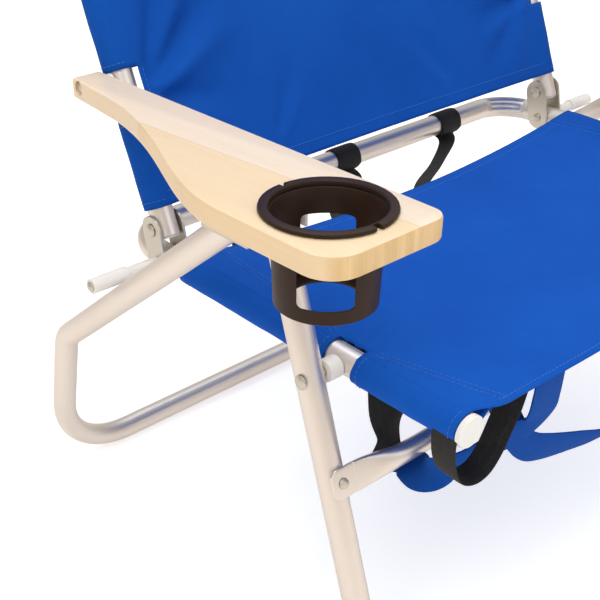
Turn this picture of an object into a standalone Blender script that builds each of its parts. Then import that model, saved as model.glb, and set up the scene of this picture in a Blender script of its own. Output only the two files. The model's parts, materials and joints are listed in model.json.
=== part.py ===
"""Folding beach chair with wooden armrests: metres, +Z up, +X to the front, +Y to the sitter's left.

The dimensions below are measured from the point on the ground straight below the bolts that join the front
legs to the seat. The finished chair is then moved so that its origin is the middle of its footprint.
"""

import math

import bmesh
import bpy
from mathutils import Matrix, Vector

GAP = 0.0003  # clearance between pieces that touch
MIDDLE_X = -0.1701  # middle of the chair's length, which becomes the origin

# Tubes
TUBE_R = 0.0111
TUBE_WALL = 0.0012
TUBE_SIDES = 16
BRACE_R = 0.0082
SPREADER_R = 0.005
SPREADER_WALL = 0.001
SPREADER_INSET = 0.014  # from the rails' front ends
CUT_REACH = 0.02  # how far a bolt hole's cutter runs past a tube's centre line
PLUG_SHANK = 0.012
PLUG_R = 0.0128
PLUG_T = 0.0050

# Planes of the tubes, measured sideways from the middle plane
FRAME_Y = 0.2686  # seat rails and back tubes
LEG_Y = 0.3039  # front legs
REAR_Y = 0.3306  # rear leg frame

# Side view: points are (x, z), with z measured from the ground
SEAT_Z = 0.273
SEAT_PIVOT = (0.0, SEAT_Z)
RAIL_FRONT_X = 0.1165
REAR_BAR_X = -0.280
SEAT_CORNER_R = 0.046
PIN = (-0.220, SEAT_Z)  # lower hinge bolt, which also carries the rear leg frame
BACK_PIVOT = (-0.2265, SEAT_Z + 0.0275)
LINK = (-0.047, 0.119)  # from each lower pivot of the linkage to its upper pivot
ARM_REAR_PIVOT = (BACK_PIVOT[0] + LINK[0], BACK_PIVOT[1] + LINK[1])
ARM_FRONT_PIVOT = (SEAT_PIVOT[0] + LINK[0], SEAT_PIVOT[1] + LINK[1])

# Back frame: the tube leans a little more than the line through its two bolts
BACK_LEAN = math.radians(23.9)
BACK_OFFSET = 0.0026
BACK_HEIGHT = 0.560
BACK_END = 0.008
BACK_CORNER_R = 0.070

# Front legs: the tube leans a little less than the line through its two bolts
LEG_LEAN = math.radians(18.6)
LEG_OFFSET = -0.0033
LEG_TOP = 0.138
BRACE_DOWN = 0.0855
FLATTENED = 0.0030  # thickness of the brace's pressed ends
BRACE_INSET = 0.0012  # the brace stops this far inside the legs' outer sides
BRACE_FLAT = 0.032  # length of a pressed end
BRACE_EASE = 0.060  # length over which it becomes round
BRACE_CORNER = 0.006  # length of the narrowing at the very end
BRACE_TIP = 0.72  # height of the very end, as a share of the pressed end's height
BRACE_TALL = 1.52  # height of the pressed end, as a share of the round tube's
RIVET_R = 0.0025
RIVET_TAIL = 0.004  # from the tube's inner wall into its hollow
FOOT_CLEAR = 0.006  # height of the leg tube's end above the ground
FOOT_WALL = 0.0016
FOOT_HIGH = 0.026
FOOT_SOLE = 0.014

# Rear leg frame
REAR_ANGLE = math.radians(39.8)
REAR_KNEE = 0.337
REAR_FOOT_X = -0.343
REAR_KNEE_R = 0.030
REAR_CORNER_R = 0.082
REAR_TOP = 0.009

# Hinge plates and their hardware
PLATE_T = 0.0020
PLATE_R = 0.0125
BOLT_R = 0.0030
BOLT_SIDES = 12
RING_SIDES = 20
HEAD_R = 0.0060
HEAD_H = 0.0025
COLLAR_R = 0.0050
PIN_HEAD_R = 0.0045
SLEEVE_R = 0.0066
SLEEVE_START = 0.3150
SLEEVE_END = 0.3505
SPACER_R = 0.0090
WASHER_R = 0.0056
THREAD_IN = 0.002  # how far a bolt's end passes a tube's centre line

# Fabric
SLEEVE_IN = 0.0115
SLEEVE_OUT = 0.0128
SLEEVE_SIDES = 20
FABRIC_LOW = 0.0099
FABRIC_HIGH = 0.0110
FABRIC_EDGE = 0.0060  # how far inside the tube's centre line the flat panel ends
SEAT_REAR_X = -0.188
SEAT_FRONT_X = 0.1150
CUTOUT_X = (-0.013, 0.0165)
CUTOUT_IN = 0.003  # how far inside the tube's centre line the cut-outs and notches reach
CUTOUT_REACH = 0.03
BACK_FABRIC_START = 0.0170
NOTCH = (0.092, 0.134)

# Armrest: its outline lies in a plane that rises a little to the front
ARM_T = 0.0165
ARM_TOP_Z = SEAT_Z + 0.1573
ARM_TILT = math.radians(0.96)
ARM_IN_Y = 0.2836
ARM_OUT_Y = 0.3860
ARM_FRONT_X = 0.0958
ARM_REAR_X = -0.2850
ARM_REAR_OUT_Y = 0.3113
ARM_EDGE_R = 0.0022
ARM_RECESS = 0.003  # depth of the recess for the bolt's head
ARM_HEAD_R = 0.0055
# The outer side's S-curve, (x, y): from the wide front part to the narrow rear part
ARM_CURVE = ((-0.005, 0.386), (-0.068, 0.386), (-0.125, 0.333), (-0.215, 0.3185))

# Cup holder
CUP_X = 0.0404
CUP_Y = 0.3348
CUP_HOLE_R = 0.0378
RIM_R = 0.0441
RIM_H = 0.0034
CUP_MOUTH_R = 0.0373
CUP_TOP_R = 0.0368
CUP_LOW_R = 0.0345
CUP_DEPTH = 0.0637
CUP_WALL = 0.0016
CUP_RING_HOLE_R = 0.0240
CUP_RING_H = 0.0100
CUP_WINDOW_WIDE = 0.036
CUP_WINDOW_CORNER = 0.003
CUP_WINDOW_TURNS = (-45, 135)
CUP_NOTCH_HALF = 0.0024
CUP_NOTCH_IN = 0.0048  # depth of the notches in the rim's outer edge

# Arm bracket
BRACKET_T = 0.0020
BRACKET_IN_Y = 0.2890
BRACKET_OUT_Y = 0.3445
BRACKET_LEN = 0.050
BRACKET_TAB = 0.032
BRACKET_BACK = 0.004  # its middle lies this far behind the pivot
PIN_END_R = 0.0052
SCREW_R = 0.0020
SCREW_IN = 0.010  # length in the wood
SCREW_INSET = 0.006  # from the bracket's ends

# Straps
WEB_T = 0.0016
WEB_WIDE = 0.038
WEB_NARROW = 0.022
PAD_T = 0.0035
PAD_WIDE = 0.030
WEB_PLACES = {"webbing_right": -0.178, "webbing_middle": 0.014, "webbing_left": 0.178}
WEB_TAIL = 0.020  # from the bar's centre to the strap's end below it
WEB_RUN = (  # (x, height above the rails) from the bar forward and down to the free end
    (-0.235, 0.002), (-0.170, -0.004), (-0.020, -0.003), (0.010, -0.008), (0.024, -0.022), (0.028, -0.052),
)
LOOP_X = 0.1075
LOOP_CORNERS = ((0.2700, -0.0150), (0.2690, -0.0620), (0.2300, -0.0620), (0.1980, -0.0080))  # (y, height)
LOOP_RADII = (0.016, 0.018)
SHOULDER_CORNERS = (  # (x, y, height) from the front hem outward
    (0.1085, 0.1150, -0.0120), (0.1005, 0.1200, -0.0600), (0.0800, 0.1750, -0.1020),
    (0.0800, 0.2450, -0.1000), (0.0820, 0.2700, -0.0740),
)
SHOULDER_RADII = (0.030, 0.040, 0.020)

SIDES = {"right": -1.0, "left": 1.0}

PAINT = {
    "tube": ("anodised_aluminium", (0.80, 0.78, 0.76), 0.32, 1.0),
    "steel": ("zinc_plated_steel", (0.62, 0.61, 0.58), 0.35, 1.0),
    "nylon": ("white_nylon", (0.88, 0.86, 0.82), 0.45, 0.0),
    "foot": ("white_rubber", (0.86, 0.84, 0.80), 0.70, 0.0),
    "fabric": ("blue_polyester", (0.010, 0.100, 0.480), 0.85, 0.0),
    "webbing": ("black_webbing", (0.012, 0.012, 0.013), 0.80, 0.0),
    "wood": ("birch_wood", (0.86, 0.66, 0.42), 0.50, 0.0),
    "plastic": ("black_plastic", (0.020, 0.018, 0.020), 0.35, 0.0),
}


# ---------------------------------------------------------------- scene helpers

def clear_scene():
    for item in list(bpy.data.objects):
        bpy.data.objects.remove(item, do_unlink=True)


def make_materials():
    made = {}
    for key, (name, colour, roughness, metallic) in PAINT.items():
        mat = bpy.data.materials.new(name)
        mat.use_nodes = True
        shader = mat.node_tree.nodes["Principled BSDF"]
        shader.inputs["Base Color"].default_value = (*colour, 1.0)
        shader.inputs["Roughness"].default_value = roughness
        shader.inputs["Metallic"].default_value = metallic
        made[key] = mat
    return made


def make_joint(name, place, parent=None):
    """An empty on a joint's axis, in the middle plane; place is (x, z)."""
    empty = bpy.data.objects.new(name, None)
    empty.empty_display_size = 0.03
    bpy.context.scene.collection.objects.link(empty)
    world = Vector((place[0], 0.0, place[1]))
    empty["world_place"] = world
    if parent:
        empty.parent = parent
        world = world - Vector(parent["world_place"])
    empty.location = world
    return empty


def add(name, bm, paint, joint, crease=35.0):
    """Turn a mesh built in world coordinates into an object hung on its joint's empty."""
    bmesh.ops.recalc_face_normals(bm, faces=bm.faces)
    bmesh.ops.translate(bm, verts=bm.verts, vec=-Vector(joint["world_place"]))
    mesh = bpy.data.meshes.new(name)
    bm.to_mesh(mesh)
    bm.free()
    mesh.shade_smooth()
    mesh.set_sharp_from_angle(angle=math.radians(crease))
    mesh.materials.append(materials[paint])
    item = bpy.data.objects.new(name, mesh)
    bpy.context.scene.collection.objects.link(item)
    item.parent = joint
    return item


def boolean(item, bm, label, operation="DIFFERENCE"):
    """Cut a closed mesh, given in world coordinates, out of an object, or join it on."""
    bmesh.ops.recalc_face_normals(bm, faces=bm.faces)
    bmesh.ops.translate(bm, verts=bm.verts, vec=-Vector(item.parent["world_place"]))
    mesh = bpy.data.meshes.new(item.name + "_" + label)
    bm.to_mesh(mesh)
    bm.free()
    mesh.materials.append(item.data.materials[0])
    tool = bpy.data.objects.new(item.name + "_" + label, mesh)
    tool.hide_render = True
    tool.display_type = "WIRE"
    bpy.context.scene.collection.objects.link(tool)
    tool.parent = item.parent
    modifier = item.modifiers.new(label, "BOOLEAN")
    modifier.operation = operation
    modifier.solver = "EXACT"
    modifier.object = tool


# ---------------------------------------------------------------- mesh helpers

def rounded(corners, radii, step=math.radians(15)):
    """A path through corner points, with an arc of the given radius at each inner corner."""
    path = [corners[0]]
    for before, corner, after, radius in zip(corners, corners[1:], corners[2:], radii):
        to_before = (before - corner).normalized()
        to_after = (after - corner).normalized()
        turn = math.pi - to_before.angle(to_after)
        inset = radius * math.tan(turn / 2)
        start = corner + to_before * inset
        axis = to_before.cross(to_after).normalized()
        centre = start + axis.cross(to_before) * radius
        if (centre - corner).dot(to_after) < 0:
            centre = start - axis.cross(to_before) * radius
        count = max(2, math.ceil(turn / step))
        for i in range(count + 1):
            spoke = Matrix.Rotation(-turn * i / count, 3, axis) @ (start - centre)
            path.append(centre + spoke)
    path.append(corners[-1])
    return path


def frames(path, normal):
    """Sideways and across directions at each point of a path that lies in the plane of the given normal."""
    result = []
    for i, point in enumerate(path):
        back = (point - path[i - 1]).normalized() if i else None
        ahead = (path[i + 1] - point).normalized() if i < len(path) - 1 else None
        along = (back or ahead) + (ahead or back)
        along.normalize()
        across = normal.cross(along).normalized()
        half_turn = back.angle(ahead) / 2 if back and ahead else 0.0
        result.append((across / math.cos(half_turn), normal))
    return result


def sweep(path, section, normal):
    """Carry closed sections, lists of (across, sideways) pairs, along a path; the ends are closed faces.

    With two sections the second one is the bore, and the ends are rings.
    """
    bm = bmesh.new()
    walls = []
    for outline in section:
        rings = []
        for point, (across, side) in zip(path, frames(path, normal)):
            rings.append([bm.verts.new(point + across * a + side * s) for a, s in outline])
        for ring, following in zip(rings, rings[1:]):
            for i in range(len(ring)):
                j = (i + 1) % len(ring)
                bm.faces.new((ring[i], ring[j], following[j], following[i]))
        walls.append(rings)
    for end in (0, -1):
        if len(walls) == 1:
            bm.faces.new(walls[0][end])
            continue
        outer, inner = walls[0][end], walls[1][end]
        for i in range(len(outer)):
            j = (i + 1) % len(outer)
            bm.faces.new((outer[i], outer[j], inner[j], inner[i]))
    return bm


def circle(radius, sides=TUBE_SIDES):
    return [(radius * math.cos(2 * math.pi * i / sides), radius * math.sin(2 * math.pi * i / sides))
            for i in range(sides)]


def oblong(wide, thick):
    """Section of a strap: the width lies sideways."""
    return [(-thick / 2, -wide / 2), (thick / 2, -wide / 2), (thick / 2, wide / 2), (-thick / 2, wide / 2)]


def tube(path, normal):
    return sweep(path, [circle(TUBE_R), circle(TUBE_R - TUBE_WALL)], normal)


def sleeve_section():
    """Outer and inner outline of a fabric sleeve round a tube."""
    return [circle(SLEEVE_OUT, SLEEVE_SIDES), circle(SLEEVE_IN, SLEEVE_SIDES)]


def turned(profile, centre, axis, sides=BOLT_SIDES, ring=False):
    """Turn a profile of (radius, height) pairs about an axis; ring joins the last pair to the first."""
    axis = axis.normalized()
    first = axis.orthogonal().normalized()
    second = axis.cross(first)
    bm = bmesh.new()
    rows = []
    for radius, height in profile:
        middle = centre + axis * height
        if radius == 0.0:
            rows.append([bm.verts.new(middle)])
            continue
        row = []
        for i in range(sides):
            angle = 2 * math.pi * i / sides
            row.append(bm.verts.new(middle + (first * math.cos(angle) + second * math.sin(angle)) * radius))
        rows.append(row)
    pairs = list(zip(rows, rows[1:]))
    if ring:
        pairs.append((rows[-1], rows[0]))
    for low, high in pairs:
        for i in range(sides):
            j = (i + 1) % sides
            if len(low) == 1:
                bm.faces.new((low[0], high[j], high[i]))
            elif len(high) == 1:
                bm.faces.new((low[i], low[j], high[0]))
            else:
                bm.faces.new((low[i], low[j], high[j], high[i]))
    return bm


def rod(start, end, radius, sides=BOLT_SIDES):
    length = (end - start).length
    return turned([(0, 0), (radius, 0), (radius, length), (0, length)], start, end - start, sides)


def ring_piece(start, end, outer, inner, sides=BOLT_SIDES):
    length = (end - start).length
    profile = [(outer, 0), (outer, length), (inner, length), (inner, 0)]
    return turned(profile, start, end - start, sides, ring=True)


def bolt(start, end, shank=BOLT_R, head=HEAD_R, height=HEAD_H, two_heads=True):
    """A shank from start to end with a low domed head outside its end, and outside its start too."""
    length = (end - start).length
    dome = [(head, 0), (head, height * 0.35), (head * 0.55, height * 0.9), (0, height)]
    profile = [(0, 0), (shank, 0)]
    if two_heads:
        profile = [(radius, -rise) for radius, rise in reversed(dome)] + [(shank, 0)]
    profile += [(shank, length)] + [(radius, length + rise) for radius, rise in dome]
    return turned(profile, start, end - start)


def prism(outline, low, high, to_world):
    """Extrude an outline of (u, v) pairs from height low to high; to_world places (u, v, height)."""
    bm = bmesh.new()
    bottom = [bm.verts.new(to_world(u, v, low)) for u, v in outline]
    top = [bm.verts.new(to_world(u, v, high)) for u, v in outline]
    bm.faces.new(bottom)
    bm.faces.new(top)
    for i in range(len(outline)):
        j = (i + 1) % len(outline)
        bm.faces.new((bottom[i], bottom[j], top[j], top[i]))
    return bm


def block(low, high):
    """A box between two opposite corners."""
    outline = [(low[0], low[1]), (high[0], low[1]), (high[0], high[1]), (low[0], high[1])]
    return prism(outline, low[2], high[2], lambda u, v, h: Vector((u, v, h)))


def arc(centre, radius, start, end, count=6):
    """Points on an arc; start and end are in degrees."""
    points = []
    for i in range(count + 1):
        angle = math.radians(start + (end - start) * i / count)
        points.append((centre[0] + radius * math.cos(angle), centre[1] + radius * math.sin(angle)))
    return points


def side_point(place, y):
    return Vector((place[0], y, place[1]))


# ---------------------------------------------------------------- directions in the side view

BACK_UP = Vector((-math.sin(BACK_LEAN), 0, math.cos(BACK_LEAN)))
BACK_FRONT = Vector((math.cos(BACK_LEAN), 0, math.sin(BACK_LEAN)))
LEG_DOWN = Vector((math.sin(LEG_LEAN), 0, -math.cos(LEG_LEAN)))
LEG_FRONT = Vector((math.cos(LEG_LEAN), 0, math.sin(LEG_LEAN)))
REAR_DOWN = Vector((-math.cos(REAR_ANGLE), 0, -math.sin(REAR_ANGLE)))
SIDEWAYS = Vector((0, 1, 0))
UP = Vector((0, 0, 1))


def back_point(along, y, forward=0.0):
    """A point of the back: up the tube from its pivot, sideways, and in front of the tube's axis."""
    base = side_point(BACK_PIVOT, y) + BACK_FRONT * (BACK_OFFSET + forward)
    return base + BACK_UP * along


def leg_point(down, y, forward=0.0):
    base = side_point(SEAT_PIVOT, y) + LEG_FRONT * (LEG_OFFSET + forward)
    return base + LEG_DOWN * down


def arm_point(x, y, height):
    """A point of the armrest, in its own slightly tilted plane; height is measured from its top face."""
    local = Matrix.Rotation(-ARM_TILT, 3, "Y") @ Vector((x, 0, height))
    return Vector((local.x, y, ARM_TOP_Z + local.z))


# ---------------------------------------------------------------- seat

def make_seat_frame():
    corners = [
        Vector((RAIL_FRONT_X, -FRAME_Y, SEAT_Z)),
        Vector((REAR_BAR_X, -FRAME_Y, SEAT_Z)),
        Vector((REAR_BAR_X, FRAME_Y, SEAT_Z)),
        Vector((RAIL_FRONT_X, FRAME_Y, SEAT_Z)),
    ]
    path = rounded(corners, [SEAT_CORNER_R, SEAT_CORNER_R])
    frame = add("seat_frame", tube(path, UP), "tube", seat_joint)
    for name, side in SIDES.items():
        for label, place, inner in (("leg", SEAT_PIVOT, FRAME_Y), ("pin", PIN, FRAME_Y - CUT_REACH)):
            start = side_point(place, side * inner)
            end = side_point(place, side * (FRAME_Y + CUT_REACH))
            boolean(frame, rod(start, end, BOLT_R + GAP), f"{label}_{name}")


def make_spreader_bar():
    reach = FRAME_Y - SLEEVE_OUT - GAP
    x = RAIL_FRONT_X - SPREADER_INSET
    start = Vector((x, -reach, SEAT_Z))
    end = Vector((x, reach, SEAT_Z))
    bar = ring_piece(start, end, SPREADER_R, SPREADER_R - SPREADER_WALL)
    add("seat_spreader_bar", bar, "tube", seat_joint)


def make_seat_plug(name, side):
    """Round plug: a flat lip with an eased edge outside the tube and a shank inside it."""
    shank = TUBE_R - TUBE_WALL - GAP
    profile = [
        (0, -PLUG_SHANK), (shank, -PLUG_SHANK), (shank, GAP), (PLUG_R, GAP), (PLUG_R, PLUG_T - 0.0010),
        (PLUG_R - 0.0008, PLUG_T - 0.0002), (PLUG_R * 0.6, PLUG_T), (0, PLUG_T),
    ]
    centre = Vector((RAIL_FRONT_X, side * FRAME_Y, SEAT_Z))
    add(name, turned(profile, centre, Vector((1, 0, 0)), 32), "nylon", seat_joint)


def make_seat_fabric():
    """A flat sling with a sleeve round each rail, cut away on the outer side at the leg pivots."""
    def rail_sleeve(side):
        rear = Vector((SEAT_REAR_X, side * FRAME_Y, SEAT_Z))
        front = Vector((SEAT_FRONT_X, side * FRAME_Y, SEAT_Z))
        return sweep([rear, front], sleeve_section(), UP)

    fabric = add("seat_fabric", rail_sleeve(-1), "fabric", seat_joint)
    reach = FRAME_Y - FABRIC_EDGE
    low = (SEAT_REAR_X + GAP, -reach, SEAT_Z + FABRIC_LOW)
    high = (SEAT_FRONT_X - GAP, reach, SEAT_Z + FABRIC_HIGH)
    boolean(fabric, block(low, high), "panel", "UNION")
    boolean(fabric, rail_sleeve(1), "left_sleeve", "UNION")
    for name, side in SIDES.items():
        inner, outer = sorted((side * (FRAME_Y - CUTOUT_IN), side * (FRAME_Y + CUTOUT_REACH)))
        low = (CUTOUT_X[0], inner, SEAT_Z - CUTOUT_REACH)
        high = (CUTOUT_X[1], outer, SEAT_Z + CUTOUT_REACH)
        boolean(fabric, block(low, high), "cutout_" + name)


def make_hinge_plates(name, side):
    """Two stadium-shaped plates clasp the rail and the back tube on each side."""
    direction = Vector((BACK_PIVOT[0] - PIN[0], 0, BACK_PIVOT[1] - PIN[1])).normalized()
    tilt = math.degrees(math.atan2(direction.z, direction.x))
    outline = arc(BACK_PIVOT, PLATE_R, tilt - 90, tilt + 90, 10)
    outline += arc(PIN, PLATE_R, tilt + 90, tilt + 270, 10)
    faces = {
        "hinge_plate_outer_": FRAME_Y + TUBE_R + GAP,
        "hinge_plate_inner_": FRAME_Y - TUBE_R - GAP - PLATE_T,
    }
    for prefix, y in faces.items():
        low, high = sorted((side * y, side * (y + PLATE_T)))
        shape = prism(outline, low, high, lambda u, v, h: Vector((u, h, v)))
        plate = add(prefix + name, shape, "steel", seat_joint)
        for label, place in (("upper", BACK_PIVOT), ("lower", PIN)):
            start = side_point(place, low - PLATE_T)
            end = side_point(place, high + PLATE_T)
            boolean(plate, rod(start, end, BOLT_R + GAP), label)


def make_hinge_bolt(name, side):
    inner = FRAME_Y - TUBE_R - PLATE_T - 2 * GAP
    outer = FRAME_Y + TUBE_R + PLATE_T + 2 * GAP
    start = side_point(BACK_PIVOT, side * inner)
    end = side_point(BACK_PIVOT, side * outer)
    add("hinge_bolt_" + name, bolt(start, end), "steel", seat_joint)


def make_support_pin(name, side):
    """Long lower hinge bolt with a collar and a wider sleeve on its free end."""
    inner = FRAME_Y - TUBE_R - PLATE_T - 2 * GAP
    outer = FRAME_Y + TUBE_R + PLATE_T + 2 * GAP
    start = side_point(PIN, side * inner)
    end = side_point(PIN, side * (SLEEVE_END + GAP))
    add("support_pin_" + name, bolt(start, end, head=PIN_HEAD_R), "steel", seat_joint)
    pieces = {
        "pin_collar_": (outer, SLEEVE_START - GAP, COLLAR_R),
        "pin_sleeve_": (SLEEVE_START, SLEEVE_END, SLEEVE_R),
    }
    for prefix, (near, far, radius) in pieces.items():
        start = side_point(PIN, side * near)
        end = side_point(PIN, side * far)
        piece = ring_piece(start, end, radius, BOLT_R + GAP, RING_SIDES)
        add(prefix + name, piece, "nylon", seat_joint)


def make_leg_pivot(name, side):
    """Bolt through the leg and a spacer into the rail."""
    start = side_point(SEAT_PIVOT, side * (FRAME_Y + THREAD_IN))
    end = side_point(SEAT_PIVOT, side * (LEG_Y + TUBE_R + GAP))
    add("leg_pivot_bolt_" + name, bolt(start, end, two_heads=False), "steel", seat_joint)
    near = side_point(SEAT_PIVOT, side * (FRAME_Y + TUBE_R + GAP))
    far = side_point(SEAT_PIVOT, side * (LEG_Y - TUBE_R - GAP))
    spacer = ring_piece(near, far, SPACER_R, BOLT_R + GAP, RING_SIDES)
    add("leg_spacer_" + name, spacer, "nylon", seat_joint)


# ---------------------------------------------------------------- straps

def make_webbing(name, y):
    """A wide strap looped round the rear cross bar and led forward under the sling to a hanging end."""
    wrap = TUBE_R + WEB_T / 2 + GAP
    loop = [(REAR_BAR_X + WEB_TAIL, SEAT_Z - wrap - GAP)]
    loop += arc((REAR_BAR_X, SEAT_Z), wrap, 270, 62, 12)
    loop += [(x, SEAT_Z + height) for x, height in WEB_RUN]
    path = [side_point(place, y) for place in loop]
    add(name, sweep(path, [oblong(WEB_WIDE, WEB_T)], SIDEWAYS), "webbing", seat_joint, 50)


def make_corner_loop(name, side):
    """A narrow strap hanging as a U under the front corner of the seat."""
    corners = [Vector((LOOP_X, side * y, SEAT_Z + height)) for y, height in LOOP_CORNERS]
    path = rounded(corners, LOOP_RADII)
    add(name, sweep(path, [oblong(WEB_NARROW, WEB_T)], Vector((1, 0, 0))), "webbing", seat_joint, 50)


def make_shoulder_strap(name, side):
    """A padded strap that hangs from the front hem in a shallow U, inside the corner loop."""
    corners = [Vector((x, side * y, SEAT_Z + height)) for x, y, height in SHOULDER_CORNERS]
    path = rounded(corners, SHOULDER_RADII)
    add(name, sweep(path, [oblong(PAD_WIDE, PAD_T)], Vector((1, 0, 0))), "fabric", seat_joint, 50)


# ---------------------------------------------------------------- back

def back_path(start):
    corners = [
        back_point(start, -FRAME_Y),
        back_point(BACK_HEIGHT, -FRAME_Y),
        back_point(BACK_HEIGHT, FRAME_Y),
        back_point(start, FRAME_Y),
    ]
    return rounded(corners, [BACK_CORNER_R, BACK_CORNER_R])


def make_back_frame():
    frame = add("back_frame", tube(back_path(-BACK_END), BACK_FRONT), "tube", back_joint)
    for name, side in SIDES.items():
        ends = (("hinge", BACK_PIVOT, FRAME_Y - CUT_REACH), ("arm", ARM_REAR_PIVOT, FRAME_Y))
        for label, place, inner in ends:
            start = side_point(place, side * inner)
            end = side_point(place, side * (FRAME_Y + CUT_REACH))
            boolean(frame, rod(start, end, BOLT_R + GAP), f"{label}_{name}")


def make_back_fabric():
    """A sling with one sleeve round the whole bent tube, notched at the sides for the armrests."""
    sleeve = sweep(back_path(BACK_FABRIC_START), sleeve_section(), BACK_FRONT)
    fabric = add("back_fabric", sleeve, "fabric", back_joint)
    reach = FRAME_Y - FABRIC_EDGE
    top = BACK_HEIGHT - FABRIC_EDGE
    low = BACK_FABRIC_START + GAP
    corner = BACK_CORNER_R - FABRIC_EDGE
    outline = [(-reach, low)]
    outline += arc((-reach + corner, top - corner), corner, 180, 90, 8)
    outline += arc((reach - corner, top - corner), corner, 90, 0, 8)
    outline += [(reach, low)]
    panel = prism(outline, FABRIC_LOW, FABRIC_HIGH, lambda u, v, h: back_point(v, u, h))
    boolean(fabric, panel, "panel", "UNION")
    for name, side in SIDES.items():
        near = side * (FRAME_Y - CUTOUT_IN)
        far = side * (FRAME_Y + CUTOUT_REACH)
        outline = [(near, NOTCH[0]), (far, NOTCH[0]), (far, NOTCH[1]), (near, NOTCH[1])]
        notch = prism(outline, -CUTOUT_REACH, CUTOUT_REACH, lambda u, v, h: back_point(v, u, h))
        boolean(fabric, notch, "notch_" + name)


def make_back_plug(name, side):
    """Rounded plug in the lower end of the back tube."""
    shank = TUBE_R - TUBE_WALL - GAP
    profile = [
        (0, 0.0035), (shank, 0.0035), (shank, -GAP), (TUBE_R, -GAP),
        (TUBE_R * 0.8, -0.0022), (0, -0.0028),
    ]
    centre = back_point(-BACK_END, side * FRAME_Y)
    add("back_tube_plug_" + name, turned(profile, centre, BACK_UP, 20), "nylon", back_joint)


def make_arm_washer(name, side):
    start = side_point(ARM_REAR_PIVOT, side * (FRAME_Y + TUBE_R + GAP))
    end = side_point(ARM_REAR_PIVOT, side * (ARM_IN_Y - GAP))
    washer = ring_piece(start, end, WASHER_R, BOLT_R + GAP, RING_SIDES)
    add("arm_washer_" + name, washer, "nylon", back_joint)


# ---------------------------------------------------------------- armrests

def arm_outline():
    """Outline of an armrest as (x, distance from the middle plane): wide at the cup, narrow at the rear."""
    front_r = 0.013
    outer_r = 0.024
    rear_r = 0.003
    outline = arc((ARM_REAR_X + rear_r, ARM_IN_Y + rear_r), rear_r, 180, 270, 3)
    outline += arc((ARM_FRONT_X - front_r, ARM_IN_Y + front_r), front_r, 270, 360, 6)
    outline += arc((ARM_FRONT_X - outer_r, ARM_OUT_Y - outer_r), outer_r, 0, 90, 8)
    first, second, third, last = (Vector(point) for point in ARM_CURVE)
    count = 14
    for i in range(count + 1):
        t = i / count
        point = first * (1 - t) ** 3 + second * 3 * t * (1 - t) ** 2
        point += third * 3 * t ** 2 * (1 - t) + last * t ** 3
        outline.append((point.x, point.y))
    outline += arc((ARM_REAR_X + rear_r, ARM_REAR_OUT_Y - rear_r), rear_r, 90, 180, 3)
    return outline


def make_armrest(name, side, joint):
    board = prism(arm_outline(), -ARM_T, 0.0, lambda u, v, h: arm_point(u, side * v, h))
    item = add("armrest_" + name, board, "wood", joint, 40)
    bevel = item.modifiers.new("eased_edges", "BEVEL")
    bevel.width = ARM_EDGE_R
    bevel.segments = 2
    bevel.limit_method = "ANGLE"
    bevel.angle_limit = math.radians(60)
    if name == "right":
        low = arm_point(CUP_X, side * CUP_Y, -2 * ARM_T)
        high = arm_point(CUP_X, side * CUP_Y, ARM_T)
        boolean(item, rod(low, high, CUP_HOLE_R, 40), "cup_hole")
    start = side_point(ARM_REAR_PIVOT, side * (ARM_IN_Y - CUT_REACH))
    end = side_point(ARM_REAR_PIVOT, side * (ARM_REAR_OUT_Y + CUT_REACH))
    boolean(item, rod(start, end, BOLT_R + GAP), "bolt_hole")
    seat = side_point(ARM_REAR_PIVOT, side * (ARM_REAR_OUT_Y - ARM_RECESS))
    boolean(item, rod(seat, end, ARM_HEAD_R + GAP), "bolt_recess")


def make_arm_bolt(name, side, joint):
    """Bolt from a recess in the armrest's outer side, through the washer and into the back tube."""
    start = side_point(ARM_REAR_PIVOT, side * (FRAME_Y + THREAD_IN))
    end = side_point(ARM_REAR_PIVOT, side * (ARM_REAR_OUT_Y - ARM_RECESS + GAP))
    add("arm_bolt_" + name, bolt(start, end, head=ARM_HEAD_R, two_heads=False), "steel", joint)


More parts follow.
